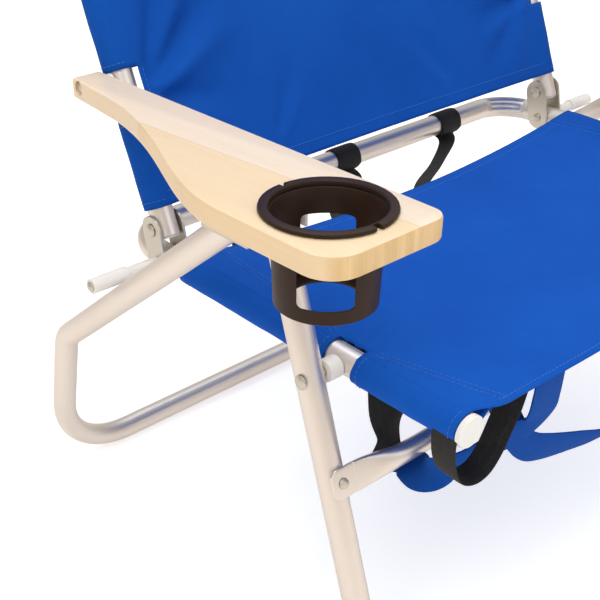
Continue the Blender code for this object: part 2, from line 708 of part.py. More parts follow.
def make_arm_bracket(name, side, joint):
    """A channel under the armrest: a base plate and two tabs that hold the pin of the legs."""
    middle = ARM_FRONT_PIVOT[0] - BRACKET_BACK
    base_high = -ARM_T - GAP
    tab_low = base_high - BRACKET_TAB

    def place(u, v, h):
        return arm_point(middle + h, side * u, v)

    outline = [
        (BRACKET_IN_Y, base_high), (BRACKET_OUT_Y, base_high), (BRACKET_OUT_Y, tab_low),
        (BRACKET_OUT_Y - BRACKET_T, tab_low), (BRACKET_OUT_Y - BRACKET_T, base_high - BRACKET_T),
        (BRACKET_IN_Y + BRACKET_T, base_high - BRACKET_T), (BRACKET_IN_Y + BRACKET_T, tab_low),
        (BRACKET_IN_Y, tab_low),
    ]
    channel = prism(outline, -BRACKET_LEN / 2, BRACKET_LEN / 2, place)
    item = add("arm_bracket_" + name, channel, "steel", joint)
    pin_start = side_point(ARM_FRONT_PIVOT, side * (BRACKET_IN_Y - CUT_REACH))
    pin_end = side_point(ARM_FRONT_PIVOT, side * (BRACKET_OUT_Y + CUT_REACH))
    boolean(item, rod(pin_start, pin_end, BOLT_R + GAP), "pin_hole")
    for label, shift in (("front", 0.5), ("rear", -0.5)):
        x = middle + shift * (BRACKET_LEN - 2 * SCREW_INSET)
        y = side * (BRACKET_IN_Y + BRACKET_OUT_Y) / 2
        screw_top = arm_point(x, y, -ARM_T + SCREW_IN)
        screw_low = arm_point(x, y, base_high - BRACKET_T - GAP)
        hole_low = arm_point(x, y, base_high - 2 * BRACKET_T)
        boolean(item, rod(hole_low, screw_top, SCREW_R + GAP), "screw_hole_" + label)
        board = bpy.data.objects["armrest_" + name]
        hole_top = arm_point(x, y, -ARM_T + SCREW_IN + 3 * GAP)
        boolean(board, rod(hole_low, hole_top, SCREW_R + GAP), "screw_hole_" + label)
        length = (screw_top - screw_low).length
        profile = [
            (0, -0.0020), (0.0028, -0.0016), (0.0038, 0), (SCREW_R, 0), (SCREW_R, length), (0, length),
        ]
        screw = turned(profile, screw_low, screw_top - screw_low, 12)
        add(f"bracket_screw_{label}_{name}", screw, "steel", joint)


def make_leg_pin(name, side, joint):
    start = side_point(ARM_FRONT_PIVOT, side * (BRACKET_IN_Y - GAP))
    end = side_point(ARM_FRONT_PIVOT, side * (BRACKET_OUT_Y + GAP))
    add("leg_top_pin_" + name, bolt(start, end, head=PIN_END_R), "steel", joint)


def make_cup_holder(side, joint):
    """A tapered cup with a flat rim on the armrest, windows in its wall and an open bottom ring."""
    seat = 2 * GAP
    profile = [
        (CUP_TOP_R, -0.001), (CUP_TOP_R, seat), (RIM_R - 0.0006, seat), (RIM_R, seat + 0.0008),
        (RIM_R - 0.0004, RIM_H - 0.0006), (RIM_R - 0.0014, RIM_H), (CUP_MOUTH_R + 0.0010, RIM_H),
        (CUP_MOUTH_R, RIM_H - 0.0010), (CUP_MOUTH_R - 0.0006, -0.0010), (CUP_TOP_R - CUP_WALL, -0.0040),
        (CUP_LOW_R - CUP_WALL, CUP_WALL - CUP_DEPTH), (CUP_RING_HOLE_R, CUP_WALL - CUP_DEPTH),
        (CUP_RING_HOLE_R, -CUP_DEPTH), (CUP_LOW_R - 0.0008, -CUP_DEPTH), (CUP_LOW_R, 0.0008 - CUP_DEPTH),
    ]
    centre = arm_point(CUP_X, side * CUP_Y, 0)
    axis = arm_point(CUP_X, side * CUP_Y, 1) - centre
    item = add("cup_holder", turned(profile, centre, axis, 40, ring=True), "plastic", joint)
    wide = CUP_WINDOW_WIDE / 2
    low = CUP_RING_H - CUP_DEPTH
    high = -ARM_T - 0.002
    corner = CUP_WINDOW_CORNER
    outline = arc((wide - corner, low + corner), corner, 270, 360, 3)
    outline += arc((wide - corner, high - corner), corner, 0, 90, 3)
    outline += arc((corner - wide, high - corner), corner, 90, 180, 3)
    outline += arc((corner - wide, low + corner), corner, 180, 270, 3)
    for i, azimuth in enumerate(CUP_WINDOW_TURNS):
        turn = Matrix.Rotation(math.radians(azimuth), 3, "Z")

        def place(u, v, h, turn=turn):
            flat = turn @ Vector((h, u, 0))
            return arm_point(CUP_X + flat.x, side * CUP_Y + flat.y, v)

        boolean(item, prism(outline, 0.020, 0.050, place), f"window_{i}")
    for i, sense in enumerate((1, -1)):
        near, far = sorted((sense * (RIM_R - CUP_NOTCH_IN), sense * (RIM_R + CUP_NOTCH_IN)))
        half = CUP_NOTCH_HALF
        outline = [(near, -half), (far, -half), (far, half), (near, half)]

        def above(u, v, h):
            return arm_point(CUP_X + u, side * CUP_Y + v, h)

        boolean(item, prism(outline, GAP, 2 * RIM_H, above), f"notch_{i}")


# ---------------------------------------------------------------- front legs

def make_front_leg(name, side):
    low = leg_point(0, side * LEG_Y)
    down = (low.z - FOOT_CLEAR) / math.cos(LEG_LEAN)
    path = [leg_point(-LEG_TOP, side * LEG_Y), leg_point(down, side * LEG_Y)]
    item = add("front_leg_" + name, tube(path, SIDEWAYS), "tube", legs_joint)
    for label, place in (("seat", SEAT_PIVOT), ("arm", ARM_FRONT_PIVOT)):
        start = side_point(place, side * (LEG_Y - CUT_REACH))
        end = side_point(place, side * (LEG_Y + CUT_REACH))
        boolean(item, rod(start, end, BOLT_R + GAP), label)
    start = leg_point(BRACE_DOWN, side * LEG_Y)
    end = leg_point(BRACE_DOWN, side * LEG_Y, CUT_REACH)
    boolean(item, rod(start, end, RIVET_R + GAP), "brace")


def make_foot_cap(name, side):
    """A cup of rubber over the lower end of the leg, flat where it stands on the ground."""
    end = leg_point((SEAT_Z - FOOT_CLEAR) / math.cos(LEG_LEAN), side * LEG_Y)
    inner = TUBE_R + GAP
    outer = inner + FOOT_WALL
    profile = [
        (0, -FOOT_SOLE), (outer, -FOOT_SOLE), (outer, FOOT_HIGH), (inner, FOOT_HIGH),
        (inner, -GAP), (0, -GAP),
    ]
    item = add("foot_cap_" + name, turned(profile, end, -LEG_DOWN, 24), "foot", legs_joint)
    reach = 2 * FOOT_HIGH
    low = (end.x - reach, end.y - reach, -reach)
    high = (end.x + reach, end.y + reach, 0.0)
    boolean(item, block(low, high), "ground")


def make_leg_brace():
    """Cross tube whose ends are pressed flat and lie on the fronts of the legs."""
    reach = LEG_Y + TUBE_R - BRACE_INSET
    flat = reach - BRACE_FLAT
    centre_forward = TUBE_R + GAP + BRACE_R
    flat_forward = TUBE_R + GAP + FLATTENED / 2
    stations = [
        (-reach, 0.0), (BRACE_CORNER - reach, 0.0), (-flat, 0.0), (BRACE_EASE - flat, 1.0),
        (flat - BRACE_EASE, 1.0), (flat, 0.0), (reach - BRACE_CORNER, 0.0), (reach, 0.0),
    ]
    fine = []
    for (y0, s0), (y1, s1) in zip(stations, stations[1:]):
        count = 6 if s0 != s1 else 1
        fine += [(y0 + (y1 - y0) * i / count, s0 + (s1 - s0) * i / count) for i in range(count)]
    fine.append(stations[-1])
    bm = bmesh.new()
    rings = []
    for y, roundness in fine:
        ease = roundness * roundness * (3 - 2 * roundness)
        depth = FLATTENED / 2 + (BRACE_R - FLATTENED / 2) * ease
        height = BRACE_R * (BRACE_TALL + (1 - BRACE_TALL) * ease)
        forward = flat_forward + (centre_forward - flat_forward) * ease
        if abs(abs(y) - reach) < 1e-6:
            height *= BRACE_TIP
        ring = []
        for i in range(TUBE_SIDES):
            angle = 2 * math.pi * (i + 0.5) / TUBE_SIDES
            square = 1 - ease
            across = math.copysign(abs(math.cos(angle)) ** (1 - 0.75 * square), math.cos(angle))
            up = math.sin(angle)
            ring.append(bm.verts.new(leg_point(BRACE_DOWN - height * up, y, forward + depth * across)))
        rings.append(ring)
    for ring, following in zip(rings, rings[1:]):
        for i in range(TUBE_SIDES):
            j = (i + 1) % TUBE_SIDES
            bm.faces.new((ring[i], ring[j], following[j], following[i]))
    bm.faces.new(rings[0])
    bm.faces.new(rings[-1])
    item = add("leg_brace", bm, "tube", legs_joint, 50)
    for name, side in SIDES.items():
        start = leg_point(BRACE_DOWN, side * LEG_Y, TUBE_R / 2)
        end = leg_point(BRACE_DOWN, side * LEG_Y, TUBE_R + 2 * BRACE_R)
        boolean(item, rod(start, end, RIVET_R + GAP), "rivet_" + name)


def make_brace_rivet(name, side):
    start = leg_point(BRACE_DOWN, side * LEG_Y, TUBE_R - TUBE_WALL - RIVET_TAIL)
    head = FLATTENED + TUBE_WALL + RIVET_TAIL + 2 * GAP
    profile = [
        (0, 0), (RIVET_R, 0), (RIVET_R, head), (0.0046, head), (0.0043, head + 0.0010),
        (0.0025, head + 0.0020), (0, head + 0.0023),
    ]
    add("brace_rivet_" + name, turned(profile, start, LEG_FRONT), "steel", legs_joint)


# ---------------------------------------------------------------- rear leg frame

def make_rear_leg_frame():
    def corner_points(side):
        top = side_point(ARM_FRONT_PIVOT, side * REAR_Y)
        knee = top + REAR_DOWN * REAR_KNEE
        foot = Vector((REAR_FOOT_X, side * REAR_Y, TUBE_R))
        return top - REAR_DOWN * REAR_TOP, knee, foot

    right_top, right_knee, right_foot = corner_points(-1)
    left_top, left_knee, left_foot = corner_points(1)
    corners = [right_top, right_knee, right_foot, left_foot, left_knee, left_top]
    path = rounded(corners, [REAR_KNEE_R, REAR_CORNER_R, REAR_CORNER_R, REAR_KNEE_R])
    bm = round_sweep(path)
    item = add("rear_leg_frame", bm, "tube", rear_joint)
    for name, side in SIDES.items():
        start = side_point(ARM_FRONT_PIVOT, side * (REAR_Y - CUT_REACH))
        end = side_point(ARM_FRONT_PIVOT, side * (REAR_Y + CUT_REACH))
        boolean(item, rod(start, end, BOLT_R + GAP), "pin_" + name)


def round_sweep(path):
    """A hollow tube along a path that bends in more than one plane, without twist between its rings."""
    bm = bmesh.new()
    across = None
    walls = ([], [])
    for i, point in enumerate(path):
        back = (point - path[i - 1]).normalized() if i else None
        ahead = (path[i + 1] - point).normalized() if i < len(path) - 1 else None
        along = ((back or ahead) + (ahead or back)).normalized()
        across = SIDEWAYS.cross(along) if across is None else across
        across = (across - along * across.dot(along)).normalized()
        other = along.cross(across)
        for rings, radius in zip(walls, (TUBE_R, TUBE_R - TUBE_WALL)):
            rings.append([bm.verts.new(point + across * a + other * s) for a, s in circle(radius)])
    for rings in walls:
        for ring, following in zip(rings, rings[1:]):
            for i in range(TUBE_SIDES):
                j = (i + 1) % TUBE_SIDES
                bm.faces.new((ring[i], ring[j], following[j], following[i]))
    for end in (0, -1):
        outer, inner = walls[0][end], walls[1][end]
        for i in range(TUBE_SIDES):
            j = (i + 1) % TUBE_SIDES
            bm.faces.new((outer[i], outer[j], inner[j], inner[i]))
    return bm


def make_leg_top_spacer(name, side):
    """Washer between the tops of the front leg and the rear leg frame."""
    start = side_point(ARM_FRONT_PIVOT, side * (LEG_Y + TUBE_R + GAP))
    end = side_point(ARM_FRONT_PIVOT, side * (REAR_Y - TUBE_R - GAP))
    spacer = ring_piece(start, end, SPACER_R, BOLT_R + GAP, RING_SIDES)
    add("leg_top_spacer_" + name, spacer, "nylon", rear_joint)


# ---------------------------------------------------------------- the chair

clear_scene()
materials = make_materials()
seat_joint = make_joint("joint_seat", SEAT_PIVOT)
back_joint = make_joint("joint_back", BACK_PIVOT, seat_joint)
legs_joint = make_joint("joint_front_legs", SEAT_PIVOT, seat_joint)
rear_joint = make_joint("joint_rear_leg_frame", ARM_FRONT_PIVOT, legs_joint)
arm_joints = {name: make_joint("joint_arm_" + name, ARM_REAR_PIVOT, back_joint) for name in SIDES}

make_seat_frame()
make_spreader_bar()
make_seat_fabric()
make_leg_brace()
make_rear_leg_frame()
make_back_frame()
make_back_fabric()
for strap_name, strap_y in WEB_PLACES.items():
    make_webbing(strap_name, strap_y)
for side_name, sign in SIDES.items():
    make_seat_plug("seat_plug_" + side_name, sign)
    make_hinge_plates(side_name, sign)
    make_hinge_bolt(side_name, sign)
    make_support_pin(side_name, sign)
    make_leg_pivot(side_name, sign)
    make_corner_loop("corner_loop_" + side_name, sign)
    make_shoulder_strap("shoulder_strap_" + side_name, sign)
    make_back_plug(side_name, sign)
    make_arm_washer(side_name, sign)
    make_armrest(side_name, sign, arm_joints[side_name])
    make_arm_bolt(side_name, sign, arm_joints[side_name])
    make_arm_bracket(side_name, sign, arm_joints[side_name])
    make_leg_pin(side_name, sign, arm_joints[side_name])
    make_front_leg(side_name, sign)
    make_foot_cap(side_name, sign)
    make_brace_rivet(side_name, sign)
    make_leg_top_spacer(side_name, sign)
make_cup_holder(SIDES["right"], arm_joints["right"])
seat_joint.location.x -= MIDDLE_X
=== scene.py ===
"""Looks of the folding beach chair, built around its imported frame: metres, +X to the front, +Z up.

Points are given from the seat's pivot, where the front legs cross the rails, by at(x, y, z).
"""

import json
import math

import bmesh
import bpy
from mathutils import Matrix, Vector, noise


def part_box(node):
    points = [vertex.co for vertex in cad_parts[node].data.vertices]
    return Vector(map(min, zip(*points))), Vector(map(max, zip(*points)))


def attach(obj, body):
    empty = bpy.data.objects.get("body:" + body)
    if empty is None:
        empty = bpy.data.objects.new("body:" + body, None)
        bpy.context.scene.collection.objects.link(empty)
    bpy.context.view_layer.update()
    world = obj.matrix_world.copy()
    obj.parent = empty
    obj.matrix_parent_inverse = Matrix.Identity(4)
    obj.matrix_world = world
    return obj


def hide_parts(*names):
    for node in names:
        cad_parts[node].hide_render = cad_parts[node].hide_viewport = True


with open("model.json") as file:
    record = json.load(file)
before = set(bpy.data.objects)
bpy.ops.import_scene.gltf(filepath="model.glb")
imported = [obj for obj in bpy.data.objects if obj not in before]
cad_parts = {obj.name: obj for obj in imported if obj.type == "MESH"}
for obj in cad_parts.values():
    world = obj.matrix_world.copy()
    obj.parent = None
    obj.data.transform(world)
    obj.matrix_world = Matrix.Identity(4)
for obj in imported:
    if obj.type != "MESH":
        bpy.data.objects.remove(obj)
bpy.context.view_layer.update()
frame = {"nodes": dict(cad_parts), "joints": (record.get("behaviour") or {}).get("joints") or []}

JOINT = {joint["name"]: Vector(joint["pos_m"]) for joint in frame["joints"]}
PIVOT = Vector((JOINT["front_legs_swing"].x, 0, JOINT["front_legs_swing"].z))
BACK_PIVOT = Vector((JOINT["back_recline"].x, 0, JOINT["back_recline"].z))
LEG_TOP = Vector((JOINT["rear_frame_swing"].x, 0, JOINT["rear_frame_swing"].z))
SIDES = {"right": -1.0, "left": 1.0}
SIDEWAYS = Vector((0, 1, 0))
UP = Vector((0, 0, 1))


def at(x, y, z):
    """World point from distances to the seat's pivot."""
    return Vector((PIVOT.x + x, y, PIVOT.z + z))


# Tubes, read from the frame
SEAT_LOW, SEAT_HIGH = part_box("seat_frame")
TUBE_R = (SEAT_HIGH.z - SEAT_LOW.z) / 2
TUBE_WALL = 0.0012
RAIL_Y = SEAT_HIGH.y - TUBE_R
RAIL_FRONT = SEAT_HIGH.x - PIVOT.x
REAR_BAR = SEAT_LOW.x + TUBE_R - PIVOT.x
SEAT_CORNER_R = 0.046
DENT_DEPTH = 0.0030
DENT_HALF = 0.021
DENT_EDGE = 0.007
BACK_LEAN = math.radians(23.9)
BACK_OFFSET = 0.0026
BACK_HEIGHT = 0.560
BACK_END = 0.008
BACK_CORNER_R = 0.070
LEG_LEAN = math.radians(18.6)
LEG_OFFSET = -0.0033
LEG_OVER = 0.138
LEG_Y = (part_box("front_leg_left")[0].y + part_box("front_leg_left")[1].y) / 2
BRACE_DOWN = 0.0855
BRACE_R = 0.0082
BRACE_FLAT = 0.0030
BRACE_END = 0.022
BRACE_EASE = 0.054
BRACE_TALL = 1.52
BRACE_CREASE = 0.0011
BRACE_CORNER = 0.007
BRACE_INSET = 0.0012
REAR_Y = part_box("rear_leg_frame")[1].y - TUBE_R
REAR_FOOT_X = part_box("rear_leg_frame")[0].x + TUBE_R - PIVOT.x
REAR_ANGLE = math.radians(39.8)
REAR_KNEE = 0.337
REAR_KNEE_R = 0.030
REAR_CORNER_R = 0.082
REAR_OVER = 0.009
GAP = 0.0003

# Fabric, with distances along the rails from the pivot and up the back from the hinge
CLOTH_T = 0.0010
SLEEVE_R = 0.0128
SEAT_REAR = -0.190
SEAT_HEM = 0.125
SLEEVE_FRONT = 0.1158
CUTOUT = (-0.013, 0.0165)
CUTOUT_IN = 0.0055
SEAM_NEAR = 0.003
SEAM_WIDE = 0.030
SEAT_SAG_FRONT = 0.003
SEAT_SAG_REAR = 0.020
BACK_START = 0.0170
BACK_SAG = 0.016
NOTCH = (0.094, 0.1335)
NOTCH_IN = 0.0110
BACK_SLEEVE_R = 0.0136
FLAP = 0.026
SEAM_UNDER = 2.2 * CLOTH_T
HEM_IN = 0.0120
FRONT_HEM_IN = 0.0055
SEAM_PAIR = 0.0062
STITCH = 0.0034
STITCH_GAP = 0.0010
THREAD_R = 0.00033
STITCH_SHAPE = (  # along the stitch, rise and thickness, both in thread radii
    (0.0, -0.3, 0.45), (0.18, 0.35, 1.0), (0.5, 0.6, 1.1), (0.82, 0.35, 1.0), (1.0, -0.3, 0.45),
)

BACK_UP = Vector((-math.sin(BACK_LEAN), 0, math.cos(BACK_LEAN)))
BACK_FRONT = Vector((math.cos(BACK_LEAN), 0, math.sin(BACK_LEAN)))
LEG_DOWN = Vector((math.sin(LEG_LEAN), 0, -math.cos(LEG_LEAN)))
LEG_FRONT = Vector((math.cos(LEG_LEAN), 0, math.sin(LEG_LEAN)))
REAR_DOWN = Vector((-math.cos(REAR_ANGLE), 0, -math.sin(REAR_ANGLE)))


def back_point(along, y, forward=0.0):
    """A point of the back: up the tube from its pivot, sideways, and in front of the tube's axis."""
    return BACK_PIVOT + SIDEWAYS * y + BACK_FRONT * (BACK_OFFSET + forward) + BACK_UP * along


def leg_point(down, y, forward=0.0):
    """A point of the front legs' frame: down a leg from the pivot, sideways, and in front of its axis."""
    return PIVOT + SIDEWAYS * y + LEG_FRONT * (LEG_OFFSET + forward) + LEG_DOWN * down


def smoothstep(t):
    """Ease from 0 to 1 with level ends, clamped outside."""
    t = min(1.0, max(0.0, t))
    return t * t * (3 - 2 * t)


# ---------------------------------------------------------------- materials

def shader(name):
    """A new material; returns it, its node tree and its Principled shader."""
    mat = bpy.data.materials.new(name)
    mat.use_nodes = True
    tree = mat.node_tree
    return mat, tree, tree.nodes["Principled BSDF"]


def feed(item, inputs):
    """Set inputs of a node, by name or by i and a number, each to a value or another node's output."""
    for key, value in inputs.items():
        socket = item.inputs[int(key[1:])] if key[0] == "i" and key[1:].isdigit() else item.inputs[key]
        if isinstance(value, bpy.types.NodeSocket):
            item.id_data.links.new(value, socket)
        else:
            socket.default_value = value


def node(tree, kind, settings=None, **inputs):
    """A shader node, or another kind of node by its full name."""
    item = tree.nodes.new(kind if "Node" in kind else "ShaderNode" + kind)
    for key, value in (settings or {}).items():
        setattr(item, key, value)
    feed(item, inputs)
    return item


def coords(tree, source, scale):
    """Texture coordinates in metres, multiplied by scale: Object, or the length and girth in a UV map."""
    place = node(tree, "TexCoord")
    return node(tree, "Mapping", Vector=place.outputs[source], Scale=scale).outputs["Vector"]


def grains(tree, source, scale, detail=3.0, rough=0.55, distortion=0.0):
    """Noise in 0..1, with scale cells to the metre along each axis of the coordinates."""
    settings = {"Scale": 1.0, "Detail": detail, "Roughness": rough, "Distortion": distortion}
    return node(tree, "TexNoise", Vector=coords(tree, source, scale), **settings).outputs["Fac"]


def spread(tree, value, low, high, out_low, out_high):
    """Map value from low..high to out_low..out_high, clamped."""
    item = node(tree, "MapRange", i0=value, i1=low, i2=high, i3=out_low, i4=out_high)
    return item.outputs["Result"]


def maths(tree, operation, a, b=0.0):
    """A Math node on values or outputs."""
    return node(tree, "Math", {"operation": operation}, i0=a, i1=b).outputs["Value"]


def blend_colours(tree, factor, a, b):
    """Colour a where factor is 0, b where it is 1."""
    return node(tree, "Mix", {"data_type": "RGBA"}, i0=factor, i6=a, i7=b).outputs[2]


def bump(tree, height, distance, strength=1.0, normal=None):
    """A normal raised by height, over another normal if one is given."""
    under = {} if normal is None else {"Normal": normal}
    item = node(tree, "Bump", Height=height, Distance=distance, Strength=strength, **under)
    return item.outputs["Normal"]


def tube_metal():
    """Clear-anodised aluminium: fine lines drawn along the tube, cloudy tint and a few rub marks."""
    mat, tree, bsdf = shader("anodised_aluminium")
    lines = grains(tree, "UV", (14, 2600, 1), 2.0)
    clouds = grains(tree, "Object", (9, 9, 9), 3.0)
    rubs = grains(tree, "UV", (60, 420, 1), 4.0, 0.7)
    tint = blend_colours(tree, clouds, (0.80, 0.755, 0.71, 1), (0.91, 0.86, 0.81, 1))
    marks = spread(tree, rubs, 0.62, 0.72, 0.0, 0.35)
    satin = spread(tree, lines, 0.3, 0.7, 0.36, 0.48)
    rough = maths(tree, "ADD", satin, maths(tree, "MULTIPLY", marks, 0.25))
    feed(bsdf, {
        "Base Color": blend_colours(tree, marks, tint, (0.70, 0.68, 0.68, 1)),
        "Roughness": rough,
        "Normal": bump(tree, lines, 0.00002, 0.35),
        "Metallic": 1.0,
    })
    return mat


def plated_steel():
    """Zinc-plated steel: satin, faintly yellow, with soft stains and eased edges."""
    mat, tree, bsdf = shader("zinc_plated_steel")
    stains = grains(tree, "Object", (60, 60, 60), 4.0)
    fine = grains(tree, "Object", (900, 900, 900), 2.0)
    zinc = blend_colours(tree, stains, (0.56, 0.54, 0.48, 1), (0.74, 0.71, 0.63, 1))
    edge = node(tree, "Bevel", {"samples": 4}, Radius=0.0005).outputs["Normal"]
    feed(bsdf, {
        "Base Color": zinc,
        "Roughness": spread(tree, stains, 0.3, 0.7, 0.26, 0.46),
        "Normal": bump(tree, fine, 0.00002, 0.4, edge),
        "Metallic": 1.0,
    })
    return mat


def moulded(name, colour, other, rough, grain, light=0.0, gloss=0.5):
    """Moulded plastic or rubber: a fine leathery grain, eased edges and a slightly uneven sheen."""
    mat, tree, bsdf = shader(name)
    patches = grains(tree, "Object", (35, 35, 35), 3.0)
    fine = grains(tree, "Object", (1500, 1500, 1500), 2.0)
    edge = node(tree, "Bevel", {"samples": 4}, Radius=0.0006).outputs["Normal"]
    feed(bsdf, {
        "Base Color": blend_colours(tree, patches, colour, other),
        "Roughness": spread(tree, patches, 0.3, 0.7, rough - 0.06, rough + 0.08),
        "Normal": bump(tree, fine, grain, 0.5, edge),
        "Specular IOR Level": gloss,
        "Subsurface Weight": light,
        "Subsurface Radius": (0.004, 0.003, 0.002),
        "Subsurface Scale": 0.5,
    })
    return mat


def weave(tree, pitch):
    """Height of a plain weave whose threads are pitch apart, from a UV map in metres."""
    turns = 2 * math.pi / pitch
    place = node(tree, "SeparateXYZ", Vector=coords(tree, "UV", (turns, turns, 1)))
    warp = maths(tree, "SINE", place.outputs["X"])
    weft = maths(tree, "SINE", place.outputs["Y"])
    cross = maths(tree, "MULTIPLY", warp, weft)
    ridges = maths(tree, "ADD", maths(tree, "ABSOLUTE", warp), maths(tree, "ABSOLUTE", weft))
    return maths(tree, "ADD", maths(tree, "MULTIPLY", cross, 0.5), maths(tree, "MULTIPLY", ridges, 0.5))


def canvas(name, dark, light, pitch=0.0009):
    """Woven polyester: threads with painted shade between them, slubs, soft cloudiness and a little sheen.
    """
    mat, tree, bsdf = shader(name)
    threads = weave(tree, pitch)
    slubs = grains(tree, "UV", (900, 60, 1), 2.0)
    slubs_across = grains(tree, "UV", (60, 900, 1), 2.0)
    clouds = grains(tree, "Object", (7, 7, 7), 3.0)
    mixed = maths(tree, "MULTIPLY", maths(tree, "ADD", slubs, slubs_across), 0.5)
    shade = maths(tree, "ADD", maths(tree, "MULTIPLY", clouds, 0.55), maths(tree, "MULTIPLY", mixed, 0.45))
    # Painted shade and light in the weave: the threads' low points are darker and their crowns lighter.
    raised = spread(tree, threads, -0.5, 1.5, -0.12, 0.2)
    tone = maths(tree, "ADD", spread(tree, shade, 0.3, 0.7, 0.0, 0.8), raised)
    relief = maths(tree, "ADD", maths(tree, "MULTIPLY", threads, 0.7), maths(tree, "MULTIPLY", mixed, 0.6))
    feed(bsdf, {
        "Base Color": blend_colours(tree, tone, dark, light),
        "Roughness": 0.82,
        "Specular IOR Level": 0.10,
        "Sheen Weight": 0.02,
        "Sheen Roughness": 0.45,
        "Sheen Tint": (0.25, 0.5, 1.0, 1.0),
        "Normal": bump(tree, relief, 0.00012, 0.7),
    })
    return mat


RIB_TURNS = 3900.0


def ribbed_webbing():
    """Black webbing: ribs across its length with painted shade in their valleys, a herringbone shift and
    dull worn threads.
    """
    mat, tree, bsdf = shader("black_webbing")
    place = node(tree, "SeparateXYZ", Vector=coords(tree, "UV", (1, 1, 1)))
    zigzag = maths(tree, "PINGPONG", place.outputs["Y"], 0.0035)
    shifted = maths(tree, "ADD", place.outputs["X"], zigzag)
    ribs = maths(tree, "SINE", maths(tree, "MULTIPLY", shifted, RIB_TURNS))
    worn = grains(tree, "UV", (500, 90, 1), 3.0)
    dull = spread(tree, worn, 0.3, 0.75, 0.2, 1.0)
    # Painted shade in the rib valleys and lighter crests, times random dull patches of wear.
    tone = maths(tree, "MULTIPLY", spread(tree, ribs, -1, 1, 0.2, 1.0), dull)
    black = blend_colours(tree, tone, (0.006, 0.006, 0.006, 1), (0.030, 0.028, 0.026, 1))
    feed(bsdf, {
        "Base Color": black,
        "Roughness": 0.66,
        "Specular IOR Level": 0.35,
        "Normal": bump(tree, ribs, 0.00018, 0.6),
    })
    return mat


def birch():
    """Two glued birch boards: pale inner board, warmer outer one, with long grain, pores, end grain and
    painted shade on the upright faces.
    """
    mat, tree, bsdf = shader("birch_wood")
    place = node(tree, "SeparateXYZ", Vector=coords(tree, "Object", (1, 1, 1)))
    outward = maths(tree, "ABSOLUTE", place.outputs["Y"])
    joint_line = maths(tree, "ADD", maths(tree, "MULTIPLY", place.outputs["X"], -0.075), 0.3320)
    past = maths(tree, "SUBTRACT", outward, joint_line)
    warm = spread(tree, past, -0.0004, 0.0006, 0.0, 1.0)
    glue = spread(tree, maths(tree, "ABSOLUTE", past), 0.0, 0.0008, 0.45, 0.0)
    rings = grains(tree, "Object", (2.2, 55, 30), 2.5, 0.5, 0.6)
    fibres = grains(tree, "Object", (16, 900, 900), 3.0)
    pores = grains(tree, "Object", (70, 1500, 1500), 2.0, 0.5)
    pale = blend_colours(tree, rings, (0.86, 0.70, 0.53, 1), (0.93, 0.79, 0.64, 1))
    honey = blend_colours(tree, rings, (0.82, 0.61, 0.37, 1), (0.92, 0.74, 0.50, 1))
    board = blend_colours(tree, warm, pale, honey)
    board = blend_colours(tree, spread(tree, fibres, 0.35, 0.7, 0.0, 0.22), board, (0.78, 0.55, 0.33, 1))
    board = blend_colours(tree, spread(tree, pores, 0.66, 0.74, 0.0, 0.35), board, (0.55, 0.35, 0.18, 1))
    board = blend_colours(tree, glue, board, (0.66, 0.44, 0.24, 1))
    strips = grains(tree, "Object", (4, 120, 12), 3.0, 0.6, 0.3)
    rays = spread(tree, strips, 0.32, 0.68, 0, 1)
    end = blend_colours(tree, rays, (0.68, 0.43, 0.18, 1), (0.84, 0.58, 0.29, 1))
    facing = node(tree, "SeparateXYZ", Vector=node(tree, "NewGeometry").outputs["Normal"])
    edge_on = spread(tree, maths(tree, "ABSOLUTE", facing.outputs["X"]), 0.55, 0.85, 0.0, 1.0)
    # Painted shade: faces that are not level are blended up to a third of the way towards a darker brown,
    # as the sides and front of the arm catch less light.
    level = spread(tree, maths(tree, "ABSOLUTE", facing.outputs["Z"]), 0.4, 0.8, 0.34, 0.0)
    board = blend_colours(tree, level, board, (0.83, 0.53, 0.24, 1))
    edge = node(tree, "Bevel", {"samples": 4}, Radius=0.0008).outputs["Normal"]
    relief = maths(tree, "SUBTRACT", fibres, spread(tree, pores, 0.66, 0.74, 0.0, 0.6))
    feed(bsdf, {
        "Base Color": blend_colours(tree, edge_on, board, end),
        "Roughness": spread(tree, fibres, 0.3, 0.7, 0.38, 0.52),
        "Normal": bump(tree, relief, 0.00006, 0.5, edge),
        "Coat Weight": 0.12,
        "Coat Roughness": 0.25,
    })
    return mat


def thread():
    """Polyester sewing thread: two twisted plies."""
    mat, tree, bsdf = shader("sewing_thread")
    twist = grains(tree, "Object", (1600, 1600, 1600), 2.0)
    blue = blend_colours(tree, twist, (0.012, 0.11, 0.44, 1), (0.035, 0.19, 0.64, 1))
    feed(bsdf, {
        "Base Color": blue,
        "Normal": bump(tree, twist, 0.0001, 0.5),
        "Roughness": 0.5,
    })
    return mat


TUBE_METAL = tube_metal()
STEEL = plated_steel()
NYLON = moulded("white_nylon", (0.84, 0.80, 0.75, 1), (0.92, 0.89, 0.85, 1), 0.42, 0.00003, light=0.15)
RUBBER = moulded("white_rubber", (0.62, 0.60, 0.57, 1), (0.74, 0.72, 0.69, 1), 0.68, 0.00008)
BLACK = ((0.024, 0.011, 0.006, 1), (0.036, 0.017, 0.010, 1))
PLASTIC = moulded("black_plastic", *BLACK, 0.44, 0.00003, gloss=0.22)
CANVAS = canvas("blue_canvas", (0.0035, 0.070, 0.395, 1), (0.0075, 0.112, 0.545, 1))
# Painted shade: the back's canvas is the same fabric as the seat's, painted about ten percent darker for a
# back that faces the light less.
BACK_CANVAS_PAINTED_SHADE = canvas("blue_canvas_painted_shade", (0.0028, 0.064, 0.350, 1), (0.0062, 0.102, 0.485, 1))
PAD = canvas("blue_pad", (0.004, 0.052, 0.285, 1), (0.007, 0.082, 0.390, 1), 0.0012)
WEBBING = ribbed_webbing()
WOOD = birch()
THREAD = thread()


# ---------------------------------------------------------------- mesh helpers

def add(name, data):
    """A new object in the scene."""
    item = bpy.data.objects.new(name, data)
    bpy.context.scene.collection.objects.link(item)
    return item


